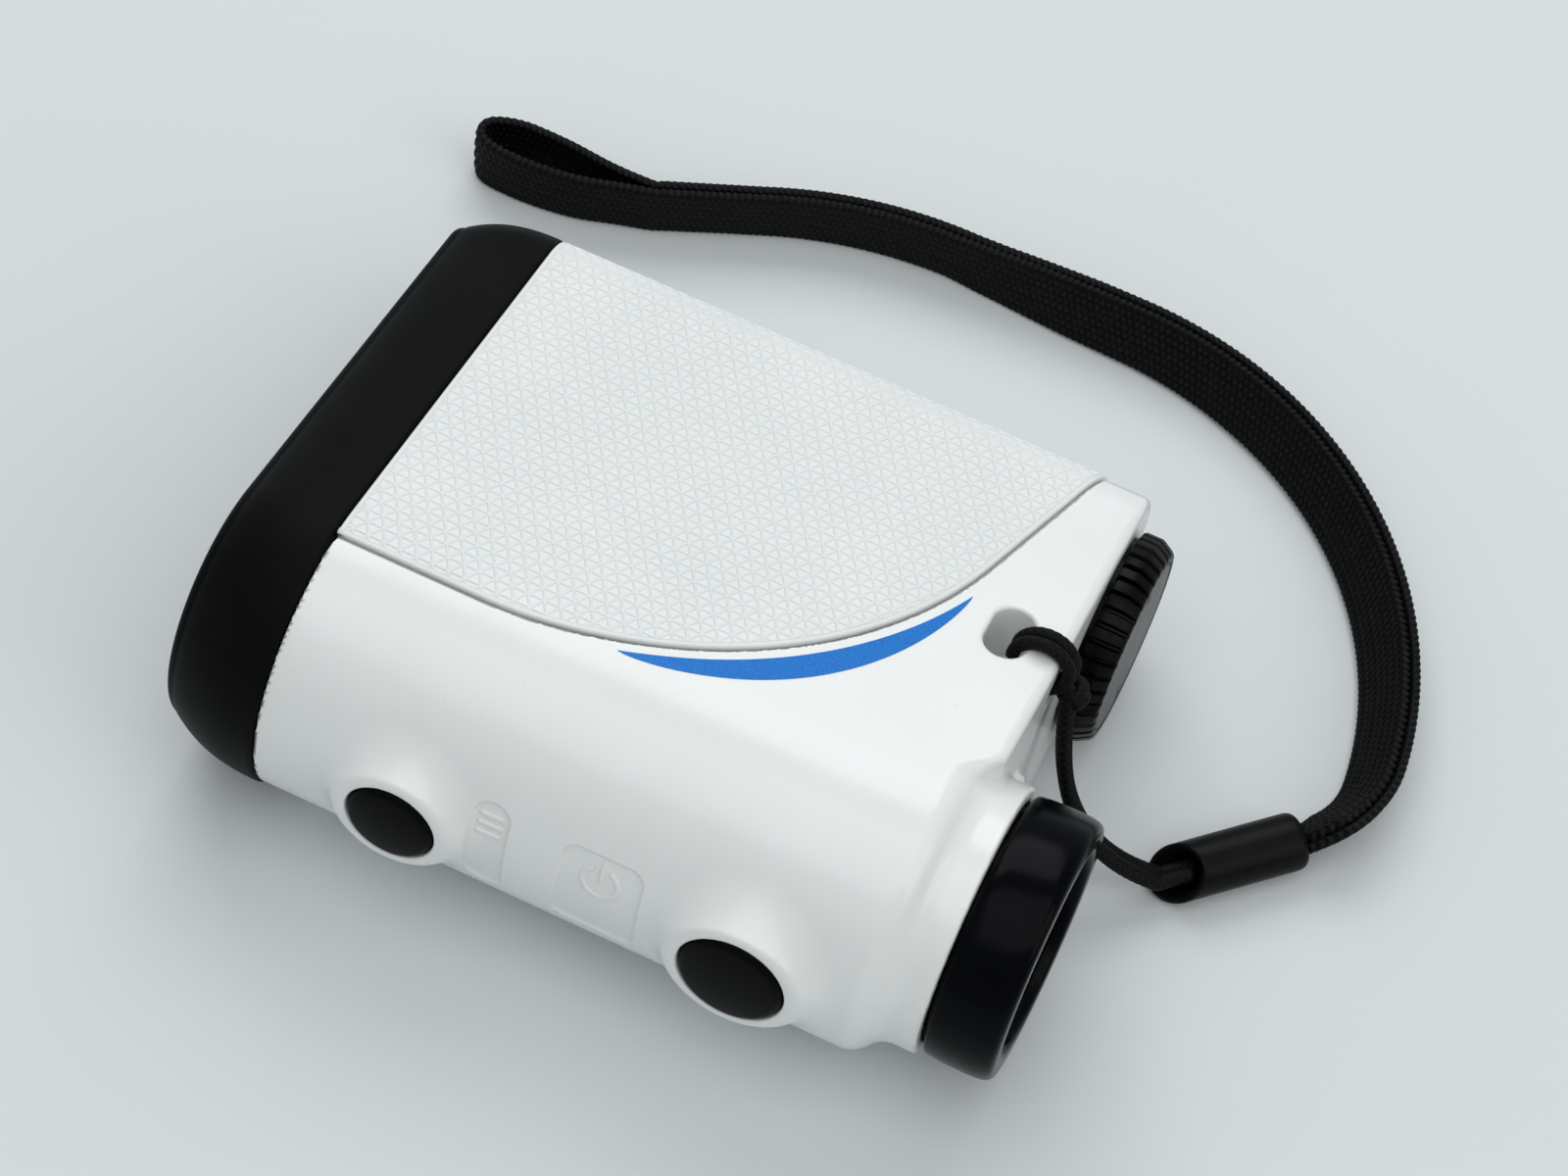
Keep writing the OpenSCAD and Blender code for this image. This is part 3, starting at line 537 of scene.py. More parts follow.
def surface_net(field, low, high, step):
    """Points and four-sided faces of the field's surface on a grid of cells."""
    axes = [np.arange(low[k], high[k] + step, step) for k in range(3)]
    shape = tuple(len(a) for a in axes)
    value = np.empty(shape)
    for i, x in enumerate(axes[0]):
        yy, zz = np.meshgrid(axes[1], axes[2], indexing="ij")
        slab = np.stack([np.full(yy.size, x), yy.ravel(), zz.ravel()], 1)
        value[i] = field(slab).reshape(shape[1:])
    inside = value < 0
    cells = tuple(n - 1 for n in shape)
    total = np.zeros(cells + (3,))
    count = np.zeros(cells)
    for axis in range(3):
        others = [k for k in range(3) if k != axis]
        for u in (0, 1):
            for v in (0, 1):
                start = [0, 0, 0]
                start[others[0]], start[others[1]] = u, v
                end = list(start)
                end[axis] = 1
                a = value[tuple(slice(o, o + n) for o, n in zip(start, cells))]
                b = value[tuple(slice(o, o + n) for o, n in zip(end, cells))]
                crossing = (a < 0) != (b < 0)
                t = np.where(crossing, a / np.where(crossing, a - b, 1), 0)
                for k in range(3):
                    offset = t if k == axis else start[k]
                    total[..., k] += np.where(crossing, offset, 0)
                count += crossing
    used = count > 0
    number = np.full(cells, -1, np.int64)
    number[used] = np.arange(used.sum())
    where = np.argwhere(used)
    points = np.array(low) + (where + total[used] / count[used][:, None]) * step
    faces = []
    for axis in range(3):
        u, v = [k for k in range(3) if k != axis]
        size = [n - 1 if k == axis else n - 2 for k, n in enumerate(shape)]
        base = [0 if k == axis else 1 for k in range(3)]
        first = tuple(slice(b, b + n) for b, n in zip(base, size))
        second = tuple(slice(b + (k == axis), b + (k == axis) + n)
                       for k, (b, n) in enumerate(zip(base, size)))
        a, b = inside[first], inside[second]
        ids = []
        for du, dv in ((-1, -1), (0, -1), (0, 0), (-1, 0)):
            shift = [0, 0, 0]
            shift[u], shift[v] = du, dv
            ids.append(number[tuple(slice(c + o, c + o + n)
                                    for c, o, n in zip(base, shift, size))])
        quads = np.stack(ids, -1)
        rising = a & ~b
        falling = ~a & b
        if axis == 1:
            rising, falling = falling, rising
        faces.append(quads[rising])
        faces.append(quads[falling][:, ::-1])
    return points, np.concatenate(faces)


def slope_of(field, points, reach=0.02):
    gradient = np.empty_like(points)
    for k in range(3):
        step = np.zeros(3)
        step[k] = reach
        gradient[:, k] = (field(points + step) - field(points - step)) / (2 * reach)
    return gradient


def settle(field, points, limit, rounds=4):
    """Moves points along the field's slope until they lie on its surface."""
    for _ in range(rounds):
        gradient = slope_of(field, points)
        size = np.maximum((gradient ** 2).sum(1), 0.05)
        move = -(field(points) / size)[:, None] * gradient
        length = np.maximum(np.linalg.norm(move, axis=1, keepdims=True), 1e-9)
        points = points + move * np.minimum(1, limit / length)
    return points


def relax(points, faces):
    """Moves each point to the middle of its neighbours, which evens out the mesh."""
    total = np.zeros_like(points)
    count = np.zeros(len(points))
    for k in range(4):
        a, b = faces[:, k], faces[:, (k + 1) % 4]
        for one, other in ((a, b), (b, a)):
            for axis in range(3):
                total[:, axis] += np.bincount(one, points[other, axis], len(points))
            count += np.bincount(one, minlength=len(points))
    return total / np.maximum(count, 1)[:, None]


def field_piece(name, field, low, high, step, body, slot, material, finer=()):
    """A piece whose surface is the field's. finer lists (chooser, cuts): where to divide the mesh again."""
    points, faces = surface_net(field, low, high, step)
    for _ in range(3):
        points = settle(field, relax(points, faces), step / 2, 2)
    for chooser, cuts in finer:
        mesh = bmesh.new()
        for p in points:
            mesh.verts.new(p)
        mesh.verts.ensure_lookup_table()
        for f in faces:
            try:
                mesh.faces.new([mesh.verts[i] for i in f])
            except ValueError:
                pass
        chosen = chooser(points)
        mesh.verts.index_update()
        edges = [e for e in mesh.edges if all(chosen[v.index] for v in e.verts)]
        bmesh.ops.subdivide_edges(mesh, edges=edges, cuts=cuts, use_grid_fill=True)
        mesh.verts.index_update()
        points = np.array([v.co[:] for v in mesh.verts])
        faces = [[v.index for v in f.verts] for f in mesh.faces]
        mesh.free()
        points = settle(field, points, step / 4)
    faces = [list(map(int, f)) for f in faces]
    normals = slope_of(field, points)
    normals /= np.maximum(np.linalg.norm(normals, axis=1, keepdims=True), 1e-9)
    return piece(name, to_row(points), faces, body, slot, material, turn_to_row(normals))


# ---- housing shell ----

SHELL_T = 2.6
SHOULDER_X = 11.9
SHOULDER_SLOPE = 0.55
WEB_X = 9.5
BOSS_FILLET = 4.0
BOSS_WALL = 1.0
RECESS = 0.6

# Sunk panels on the tube between the buttons: centre along X, half length, half width, corner radius.
MODE_PANEL = (53.9, 1.95, 6.5, 1.9)
POWER_PANEL = (41.8, 4.35, 6.1, 1.7)
PANEL_DEPTH = 0.38
ICON_HEIGHT = 0.2


def round_box(u, v, half_u, half_v, r):
    a, b = np.abs(u) - half_u + r, np.abs(v) - half_v + r
    return np.hypot(np.maximum(a, 0), np.maximum(b, 0)) + np.minimum(np.maximum(a, b), 0) - r


def bar_distance(u, v, u0, u1, v0, half):
    """Distance from a short straight line of the given half width."""
    along = np.clip(u, u0, u1)
    return np.hypot(u - along, v - v0) - half


def icon_distance(x, w):
    """The raised marks in the two panels: three bars, and a ring with a stroke through its gap."""
    cx = MODE_PANEL[0]
    marks = [bar_distance(x, w, cx - 1.1, cx + 1.1, v, 0.24) for v in (2.4, 3.6, 4.8)]
    u, v = x - POWER_PANEL[0], w - 2.6
    ring = np.abs(np.hypot(u, v) - 1.9) - 0.24
    gap = np.where((v > 0) & (np.abs(u) < 0.85), 1.0, ring)
    marks += [gap, bar_distance(v, u, 0.5, 2.5, 0.0, 0.24)]
    return np.minimum.reduce(marks)


def panel_sink(x, y, z):
    """How deep the sunk panels lie below the tube, less the height of the marks inside them."""
    w = TUBE_R * np.arctan2(z, np.maximum(y, 0.1))
    depth = 0
    for cx, half_x, half_w, r in (MODE_PANEL, POWER_PANEL):
        depth = depth + PANEL_DEPTH * ease(0.5 - round_box(x - cx, w, half_x, half_w, r) / 0.4)
    raised = ICON_HEIGHT * ease(0.5 - icon_distance(x, w) / 0.25)
    return np.where(y > 4, depth - raised, 0)


def rear_limit(x, y, z):
    """The rear end: the collar and its shoulder round the tube, then the flat wall beside the battery."""
    rho = np.hypot(y, z)
    toward_wall = ease((-y - 3.8) / 4.4)
    shoulder_x = SHOULDER_X + SHOULDER_SLOPE * np.clip(rho - COLLAR_R, 0, 2.6)
    body_x = shoulder_x + (WALL_X - shoulder_x) * toward_wall
    body = (body_x - x) / (1 + 0.12 * (1 - toward_wall))
    collar = blend_and(rho - COLLAR_R, COLLAR_X - x, 0.3)
    web = np.maximum(np.maximum(WEB_X - x, x - 13), round_box(y + 12.2, z, 3.2, 5.2, 0.8))
    fillet = 1.4 - 0.8 * toward_wall
    return blend_or(blend_or(collar, body, fillet), web, 1.0), 1.5 - 0.5 * toward_wall


def shell_field(p):
    x, y, z = p.T
    section = section_distance(y, z)
    rho = np.hypot(y, z)
    ends, edge_r = rear_limit(x, y, z)
    f = blend_and(section, ends, edge_r)
    for bx, r in (POWER, MODE):
        q = np.hypot(x - bx, z)
        boss = np.maximum(blend_and(q - r - BOSS_WALL, y - BOSS_TOP, 0.5), 5 - y)
        f = np.where(q < r + 14, blend_or(f, boss, BOSS_FILLET), f)
        f = np.where(q < r + 14, blend_and(f, y - BOSS_TOP, 0.55), f)
    f = f + panel_sink(x, y, z)
    f = blend_and(f, x - SPLIT_X, 0.2)
    cover = np.maximum(seam_distance(x, y), -(section + RECESS))
    f = np.maximum(f, -cover)
    f = np.minimum(f, np.maximum(section + 1.35, np.maximum(x - SPLIT_X - 4, 60 - x)))
    hollow = np.maximum(section + SHELL_T, WALL_X + 2.2 - x)
    hollow = np.minimum(hollow, np.maximum(section + 2.85, 74 - x))
    f = np.maximum(f, -np.maximum(hollow, -eyelet_pocket(x, y, z)))
    f = blend_and(f, -np.maximum(rho - COLLAR_BORE_R, x - 14), 0.2)
    port = np.maximum(np.hypot(y - BATTERY_Y, z) - PORT_R, x - 15)
    f = blend_and(f, -port, 0.2)
    for bx, r in (POWER, MODE):
        hole = np.maximum(np.hypot(x - bx, z) - r - 0.12, 10 - y)
        f = blend_and(f, -hole, 0.25)
    return blend_and(f, -eyelet_hole(x, y, z), 0.45)


def panel_place(y, z):
    """How far along the upper side panel from the eyelet, and how far above the panel."""
    c, s = math.cos(SLOPE), math.sin(SLOPE)
    return y * c + z * s + EYELET_D, z * c - y * s - TUBE_R


def eyelet_pocket(x, y, z):
    """The walled block behind the slot, which closes it off from the hollow housing."""
    v, w = panel_place(y, z)
    wall = 1.3
    reach = np.maximum(np.abs(v) - EYELET_L / 2 - wall, x - EYELET_X - EYELET_R - wall)
    return np.maximum(reach, -(w + 7.2 + wall))


def eyelet_hole(x, y, z):
    """The slot in the upper side panel, and the hole that joins it to the rear wall."""
    v, w = panel_place(y, z)
    run = EYELET_L / 2 - EYELET_R
    slot = np.hypot(x - EYELET_X, np.maximum(np.abs(v) - run, 0)) - EYELET_R
    slot = np.maximum(slot, -(w + 7.2))
    back = np.hypot(v, w + 4.9) - 1.9
    back = np.maximum(back, x - EYELET_X)
    return np.minimum(slot, back)


def near_panels(p):
    return (p[:, 1] > 10) & (np.abs(p[:, 2]) < 8.2) & (p[:, 0] > 36) & (p[:, 0] < 57)


def near_seam(p):
    d = seam_distance(p[:, 0], p[:, 1])
    outer = section_distance(p[:, 1], p[:, 2]) > -1.3
    return (np.abs(d) < 0.9) & outer & (p[:, 0] < SPLIT_X)


def near_openings(p):
    x, y, z = p.T
    near = np.zeros(len(p), bool)
    for bx, r in (POWER, MODE):
        near |= (np.abs(np.hypot(x - bx, z) - r) < 1.3) & (y > 17.6)
    v, w = panel_place(y, z)
    near |= (np.abs(v) < 5.2) & (x < 20) & (w > -1.6) & (z > 0)
    return near


shell = field_piece(
    "housing_shell", shell_field, (6.8, -54.5, -18.5), (84.6, 20.5, 18.5), 0.5,
    "housing", "shell", GLOSS_WHITE,
    finer=((near_panels, 3), (near_seam, 3), (near_openings, 2)),
)
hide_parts("main_shell")


# ---- grip cover: a raised lattice of triangles inside a plain rim ----

LATTICE = 1.77
RIDGE = 0.14
RIM_W = 0.55
RIM_PROFILE = ((0.0, -0.55), (0.0, 0.1), (0.07, 0.23), (0.2, PROUD), (RIM_W, PROUD), (RIM_W + 0.1, 0.0))
COVER_BACK = WALL_X + 0.4
COVER_FRONT = SPLIT_X - 0.05


def seam_x(y):
    """Where the groove crosses the given height, along the device's X."""
    if y < SEAM_END[1]:
        return SEAM_END[0] + (SEAM_END[1] - y) / SEAM_DOWN[1] * -SEAM_DOWN[0]
    return SEAM_CENTRE[0] - math.sqrt(max(SEAM_R ** 2 - (y - SEAM_CENTRE[1]) ** 2, 0))


def developed(y):
    """How far round the outline a height on the upper side lies."""
    if y > PANEL_N[0] * TUBE_R:
        return (math.asin(-y / TUBE_R) - SLOPE) * TUBE_R
    t = (y - PANEL_N[0] * TUBE_R) / PANEL_T[0]
    if t <= PANEL_L:
        return t
    return PANEL_L + (math.asin(min(1, (CORNER_Y - y) / CORNER_R)) - SLOPE) * CORNER_R


def seam_path():
    """The groove as points [x, s] on the flattened cover, from the bumper round and back to it."""
    upper = [(x, developed(SEAM_Y)) for x in np.linspace(COVER_FRONT, SEAM_X, 20)]
    for a in np.linspace(0, SEAM_TURN, 70)[1:]:
        x, y = SEAM_CENTRE + SEAM_R * np.array([-math.sin(a), math.cos(a)])
        upper.append((x, developed(y)))
    for y in np.linspace(SEAM_END[1], -CORNER_R + EDGE_D * -1 + CORNER_R + 6.0, 24)[1:]:
        upper.append((seam_x(y), developed(y)))
    for a in np.linspace(SLOPE, math.pi / 2, 16)[1:]:
        y = CORNER_Y - CORNER_R * math.sin(a)
        upper.append((seam_x(y), PANEL_L + (a - SLOPE) * CORNER_R))
    half = PANEL_L + CORNER_TURN * CORNER_R + CORNER_Z
    edge_x = seam_x(-EDGE_D)
    edge = [(edge_x, s) for s in np.linspace(upper[-1][1], 2 * half - upper[-1][1], 14)[1:-1]]
    lower = [(x, 2 * half - s) for x, s in reversed(upper)]
    return np.array(upper + edge + lower)


def cover_points(x, s, h):
    y, z = section_point(s, h)
    return np.stack([np.broadcast_to(x, y.shape), y, z], -1)


def lattice_mesh():
    """Triangular pockets between ridges, over the whole flattened cover."""
    row_h = LATTICE * math.sqrt(3) / 2
    half = PANEL_L + CORNER_TURN * CORNER_R + CORNER_Z
    s_low, s_high = developed(SEAM_Y) - row_h, 2 * half - developed(SEAM_Y) + row_h
    rows = int((s_high - s_low) / row_h) + 1
    columns = int((COVER_FRONT - COVER_BACK) / LATTICE) + 3
    triangles = []
    for j in range(rows):
        for i in range(-1, columns):
            x0 = COVER_BACK + (i + 0.5 * (j % 2)) * LATTICE
            s0 = s_low + j * row_h
            a, b = (x0, s0), (x0 + LATTICE, s0)
            c = (x0 + LATTICE / 2, s0 + row_h)
            d = (x0 + LATTICE * 1.5, s0 + row_h)
            triangles += [(a, b, c), (b, d, c)]
    corners = np.array(triangles)
    middle = corners.mean(1, keepdims=True)
    crest = corners
    lip = corners + (middle - corners) * 0.12
    foot = corners + (middle - corners) * 0.36
    flat = np.concatenate([crest, lip, foot], 1).reshape(-1, 2)
    heights = np.tile([PROUD] * 6 + [PROUD - RIDGE] * 3, len(corners))
    faces = []
    for t in range(len(corners)):
        k = 9 * t
        for a, b in ((0, 1), (1, 2), (2, 0)):
            faces.append((k + a, k + b, k + 3 + b, k + 3 + a))
            faces.append((k + 3 + a, k + 3 + b, k + 6 + b, k + 6 + a))
        faces.append((k + 6, k + 7, k + 8))
    return cover_points(flat[:, 0], flat[:, 1], heights), faces


def clipped_lattice():
    points, faces = lattice_mesh()
    mesh = bmesh.new()
    verts = [mesh.verts.new(p) for p in points]
    for f in faces:
        mesh.faces.new([verts[i] for i in f])
    bmesh.ops.remove_doubles(mesh, verts=mesh.verts, dist=0.004)
    inset = SEAM_GAP + RIM_W
    planes = [((0, SEAM_Y - inset, 0), (0, 1, 0)), ((COVER_FRONT - RIM_W, 0, 0), (1, 0, 0))]
    for a in np.linspace(0, SEAM_TURN, 28):
        out = np.array([-math.sin(a), math.cos(a)])
        at = SEAM_CENTRE + (SEAM_R - inset) * out
        planes.append(((at[0], at[1], 0), (out[0], out[1], 0)))
    for at, out in planes:
        geometry = mesh.verts[:] + mesh.edges[:] + mesh.faces[:]
        bmesh.ops.bisect_plane(mesh, geom=geometry, plane_co=at, plane_no=out,
                               dist=1e-4, clear_outer=True)
    mesh.verts.index_update()
    points = np.array([v.co[:] for v in mesh.verts])
    faces = [[v.index for v in f.verts] for f in mesh.faces]
    mesh.free()
    return points, faces


def strip_along(path, inward, profile):
    """A closed strip with the given [inset, height] profile along a path on the flattened cover."""
    columns = []
    for inset, height in profile:
        flat = path + inward * inset
        columns.append(cover_points(flat[:, 0], flat[:, 1], height))
    row = to_row(np.stack(columns, 1).reshape(-1, 3))
    faces = grid_faces(len(path), len(profile), False, True) + end_caps(len(path), len(profile))
    return row, outward(row - row.mean(0), faces)


def cover_rim():
    path = seam_path()
    along = np.gradient(path, axis=0)
    along /= np.linalg.norm(along, axis=1, keepdims=True)
    inward = np.stack([-along[:, 1], along[:, 0]], 1)
    if inward[len(path) // 2][0] < 0:
        inward = -inward
    edge, edge_faces = strip_along(path + inward * SEAM_GAP, inward, RIM_PROFILE)
    s = np.linspace(path[0][1] + SEAM_GAP, path[-1][1] - SEAM_GAP, 260)
    front_path = np.stack([np.full(len(s), COVER_FRONT), s], 1)
    front_in = np.tile([-1.0, 0.0], (len(s), 1))
    front, front_faces = strip_along(front_path, front_in, RIM_PROFILE)
    return np.concatenate([edge, front]), \
        edge_faces + [tuple(i + len(edge) for i in f) for f in front_faces]


lattice_points, lattice_faces = clipped_lattice()
lattice_row = to_row(lattice_points)
lattice = piece("grip_lattice", lattice_row, outward(lattice_row - lattice_row.mean(0), lattice_faces),
                "housing", "cover", GRIP_WHITE, smooth=False)
backing = lattice.modifiers.new("backing", "SOLIDIFY")
backing.thickness = 0.3 * MM
backing.offset = -1
piece("grip_rim", *cover_rim(), "housing", "cover", GRIP_WHITE)
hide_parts("grip_cover")

# ---- front bumper ----

FRONT_INSET = 3.2
PLATE_INSET = 5.05


def bumper_inset(x):
    t = (x - SPLIT_X) / (BODY_L - SPLIT_X)
    return (FRONT_INSET + PROUD) * t ** 2.6 - PROUD


def bumper_rows():
    """The bumper's profile as [x, inset] pairs, from inside the rear edge, over the nose, to the window."""
    rows = [(82.4, 1.3), (SPLIT_X + 0.1, 1.3), (SPLIT_X + 0.1, -0.08), (SPLIT_X + 0.17, -0.2),
            (SPLIT_X + 0.32, -0.28)]
    rows += [(x, bumper_inset(x)) for x in np.linspace(SPLIT_X + 0.7, BODY_L - 1.3, 16)]
    nose = bumper_inset(BODY_L - 1.3)
    for a in np.linspace(12, 90, 8):
        r = math.radians(a)
        rows.append((BODY_L - 1.3 + 1.3 * math.sin(r), nose + 0.25 + 1.15 * (1 - math.cos(r))))
    rows += [(BODY_L, PLATE_INSET - 0.35), (BODY_L - 0.1, PLATE_INSET - 0.1),
             (BODY_L - 0.4, PLATE_INSET), (86.7, PLATE_INSET), (86.7, 1.4)]
    return rows


rows = bumper_rows()
points = np.concatenate([
    np.column_stack([np.full(len(ring), x), ring])
    for x, inset in rows for ring in [section_outline(inset)]
])
columns = len(section_outline(0))
row_points = to_row(points)
faces = outward(row_points - row_points.mean(0), grid_faces(len(rows), columns, True, True))
bumper = piece("nose_bumper", row_points, faces, "housing", "bumper", BUMPER)
mark_sharp_by_angle(bumper, 50)
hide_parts("front_bumper")

# ---- buttons ----

BUTTON_SEGMENTS = 192


def button(name, node, body, place):
    """A domed rubber key, turned about the button's own axis."""
    bx, r = place
    dome = [(q, 19.42 - 0.62 * (q / r) ** 2.2) for q in np.linspace(0.02, r - 0.45, 12)]
    profile = dome + [(r - 0.2, 18.62), (r - 0.06, 18.45), (r, 18.2), (r, 13.9), (r + 0.8, 13.9),
                      (r + 0.8, 12.9), (1.6, 12.9), (1.6, 12.5), (0.02, 12.5)]
    angles = np.linspace(0, 2 * math.pi, BUTTON_SEGMENTS, endpoint=False)
    points = np.concatenate([
        np.stack([bx + q * np.cos(angles), np.full(BUTTON_SEGMENTS, h), q * np.sin(angles)], 1)
        for q, h in profile
    ])
    row = to_row(points)
    faces = outward(row - row.mean(0), grid_faces(len(profile), BUTTON_SEGMENTS, True, True))
    key = piece(name, row, faces, body, "rubber", BUTTON_RUBBER)
    mark_sharp_by_angle(key, 50)
    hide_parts(node)


button("power_key", "power_button", "power_press", POWER)
button("mode_key", "mode_button", "mode_press", MODE)

# ---- eyepiece ----

eyecup_profile = [
    (11.62, 7.35), (13.55, 7.35), (13.78, 7.2), (13.9, 6.9), (14.02, 5.8), (14.08, 4.4), (14.1, 2.6),
    (14.06, 1.5), (13.96, 0.85), (13.78, 0.4), (13.5, 0.12), (13.1, 0.0), (12.3, 0.0), (11.5, 0.0),
    (11.2, 0.1), (10.96, 0.34), (10.82, 0.7), (10.8, 1.3), (11.62, 1.3),
]
eyecup = turned_piece("eyecup_ring", eyecup_profile, "dioptre_ring", "rubber", EYECUP_RUBBER,
                      segments=160)
mark_sharp_by_angle(eyecup, 45)
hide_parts("eyecup")


def lens_profile(x0, x1, r, rear, front):
    """A lens as a closed profile. A curve is the radius of a bulging face, negative if hollow, 0 if flat."""
    def face(x, curve, way):
        q = np.linspace(0.02, r, 16)
        if curve == 0:
            return [(a, x) for a in q]
        big = abs(curve)
        sag = math.copysign(1, curve) * (big - np.sqrt(big * big - q * q))
        return list(zip(q, x + way * sag))
    return face(x0, rear, 1) + face(x1, front, -1)[::-1]


LENSES = [
    # name, CAD node, body, rear face, front face, radius, rear curve, front curve, axis
    ("ocular_lens", "eye_lens", "eyepiece", 3.4, 7.0, 8.55, 22, 26, 0.0),
    ("field_glass", "field_lens", "eyepiece", 12.7, 16.6, 9.25, 24, 0, 0.0),
    ("objective_glass", "objective_front_lens", "housing", 80.7, 84.6, 10.95, 60, 42, 0.0),
    ("emitter_glass", "laser_lens", "housing", 80.5, 84.2, 7.05, 0, 18, -30.0),
]
for name, node, body, x0, x1, r, rear, front, y in LENSES:
    glass = turned_piece(name, lens_profile(x0, x1, r, rear, front), body, "lens_glass", GLASS, y)
    mark_sharp_by_angle(glass, 40)
    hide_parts(node)

# ---- battery cap ----

GROOVE_D = 0.55
CAP_FACE_X = 6.6


def cap_radius(r, x, angles):
    """Cuts the grooves between the cap's ribs. They fade out under the disc and behind the head."""
    if r < 9.9 or x > 10.2:
        return np.full(len(angles), r)
    phase = np.abs(((angles * CAP_RIBS / (2 * math.pi)) % 1) - 0.5) * 2
    groove = ease((phase - 0.62) / 0.22)
    return r - GROOVE_D * groove * min(1, (r - 9.9) / 0.7)


cap_profile = [
    (0.05, CAP_FACE_X + 0.25), (9.6, CAP_FACE_X + 0.25), (9.8, CAP_FACE_X), (10.15, CAP_FACE_X - 0.03),
    (10.5, CAP_FACE_X + 0.06), (10.75, CAP_FACE_X + 0.3), (11.36, CAP_FACE_X + 1.35),
    (CAP_R, CAP_FACE_X + 1.65), (CAP_R, 9.95), (11.38, 10.2), (11.1, 10.3), (9.2, 10.3), (9.2, 14.4),
    (7.4, 14.4), (7.4, 10.3), (0.05, 10.3),
]
cap = turned_piece("cap_body", cap_profile, "cap", "black_part", CAP_PLASTIC, BATTERY_Y,
                   CAP_RIBS * 14, cap_radius)
mark_sharp_by_angle(cap, 38)
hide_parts("battery_cap")


def disc_field(p):
    x, y, z = p.T
    y = y - BATTERY_Y
    q = np.hypot(y, z)
    f = blend_and(q - 9.55, np.maximum(CAP_FACE_X + 0.02 - x, x - CAP_FACE_X - 0.8), 0.12)
    for sign in (-1, 1):
        mark = round_box(y, z - sign * 7.9, 0.42, 0.85, 0.4)
        f = np.maximum(f, -np.maximum(mark, x - CAP_FACE_X - 0.35))
    return f


disc = field_piece("cap_disc", disc_field, (6.2, -50.6, -10.2), (8.0, -30.2, 10.2), 0.2,
                   "cap", "black_part", CAP_DISC)

# ---- side stripe: one plain tapered crescent beside the groove ----


def stripe_height(x, y, lift):
    if y > PANEL_N[0] * TUBE_R:
        return math.sqrt(TUBE_R ** 2 - y * y) + lift
    return (TUBE_R + y * math.sin(SLOPE)) / math.cos(SLOPE) + lift


def stripe_rings(steps=61, across=7):
    """The crescent as rings of points: it follows the groove and swells in the middle."""
    start, end, gap = math.radians(19), math.radians(69), 1.15
    rings = []
    for t in np.linspace(0, 1, steps):
        a = start + (end - start) * t
        out = np.array([-math.sin(a), math.cos(a)])
        width = 0.06 + 3.24 * math.sin(math.pi * t) ** 0.8 * (1 - 0.25 * t)
        row = [SEAM_CENTRE + (SEAM_R + gap + width * w) * out for w in np.linspace(0, 1, across)]
        rings += [(x, y, stripe_height(x, y, 0.03)) for x, y in row]
        rings += [(x, y, stripe_height(x, y, -0.05)) for x, y in reversed(row)]
    return to_row(rings), grid_faces(steps, 2 * across, False, True) + end_caps(steps, 2 * across)


stripe_row, stripe_faces = stripe_rings()
stripe = piece("side_stripe", stripe_row, outward(stripe_row - stripe_row.mean(0), stripe_faces),
               "housing", "shell", STRIPE)
mark_sharp_by_angle(stripe, 40)

# ---- strap ----


def smooth_path(controls, step):
    """A smooth curve through control points, as points one step apart."""
    c = np.array(controls, float)
    c = np.vstack([2 * c[0] - c[1], c, 2 * c[-1] - c[-2]])
    dense = []
    for i in range(1, len(c) - 2):
        for t in np.linspace(0, 1, 40, endpoint=False):
            p0, p1, p2, p3 = c[i - 1], c[i], c[i + 1], c[i + 2]
            dense.append(0.5 * (2 * p1 + (p2 - p0) * t + (2 * p0 - 5 * p1 + 4 * p2 - p3) * t * t
                                + (3 * p1 - p0 - 3 * p2 + p3) * t ** 3))
    dense.append(c[-2])
    return even(np.array(dense), step)


def even(points, step):
    gaps = np.linalg.norm(np.diff(points, axis=0), axis=1)
    run = np.concatenate([[0], np.cumsum(gaps)])
    n = max(2, int(run[-1] / step))
    at = np.linspace(0, run[-1], n + 1)
    return np.stack([np.interp(at, run, points[:, k]) for k in range(points.shape[1])], 1)


def tube_frames(path):
    """Unit tangent and two cross directions at each point, carried along without twist."""
    tangent = np.gradient(path, axis=0)
    tangent /= np.linalg.norm(tangent, axis=1, keepdims=True)
    side = np.cross(tangent[0], [0.3, 0.2, 1.0])
    sides = []
    for t in tangent:
        side = side - t * np.dot(side, t)
        side /= np.linalg.norm(side)
        sides.append(side.copy())
    sides = np.array(sides)
    return tangent, sides, np.cross(tangent, sides)


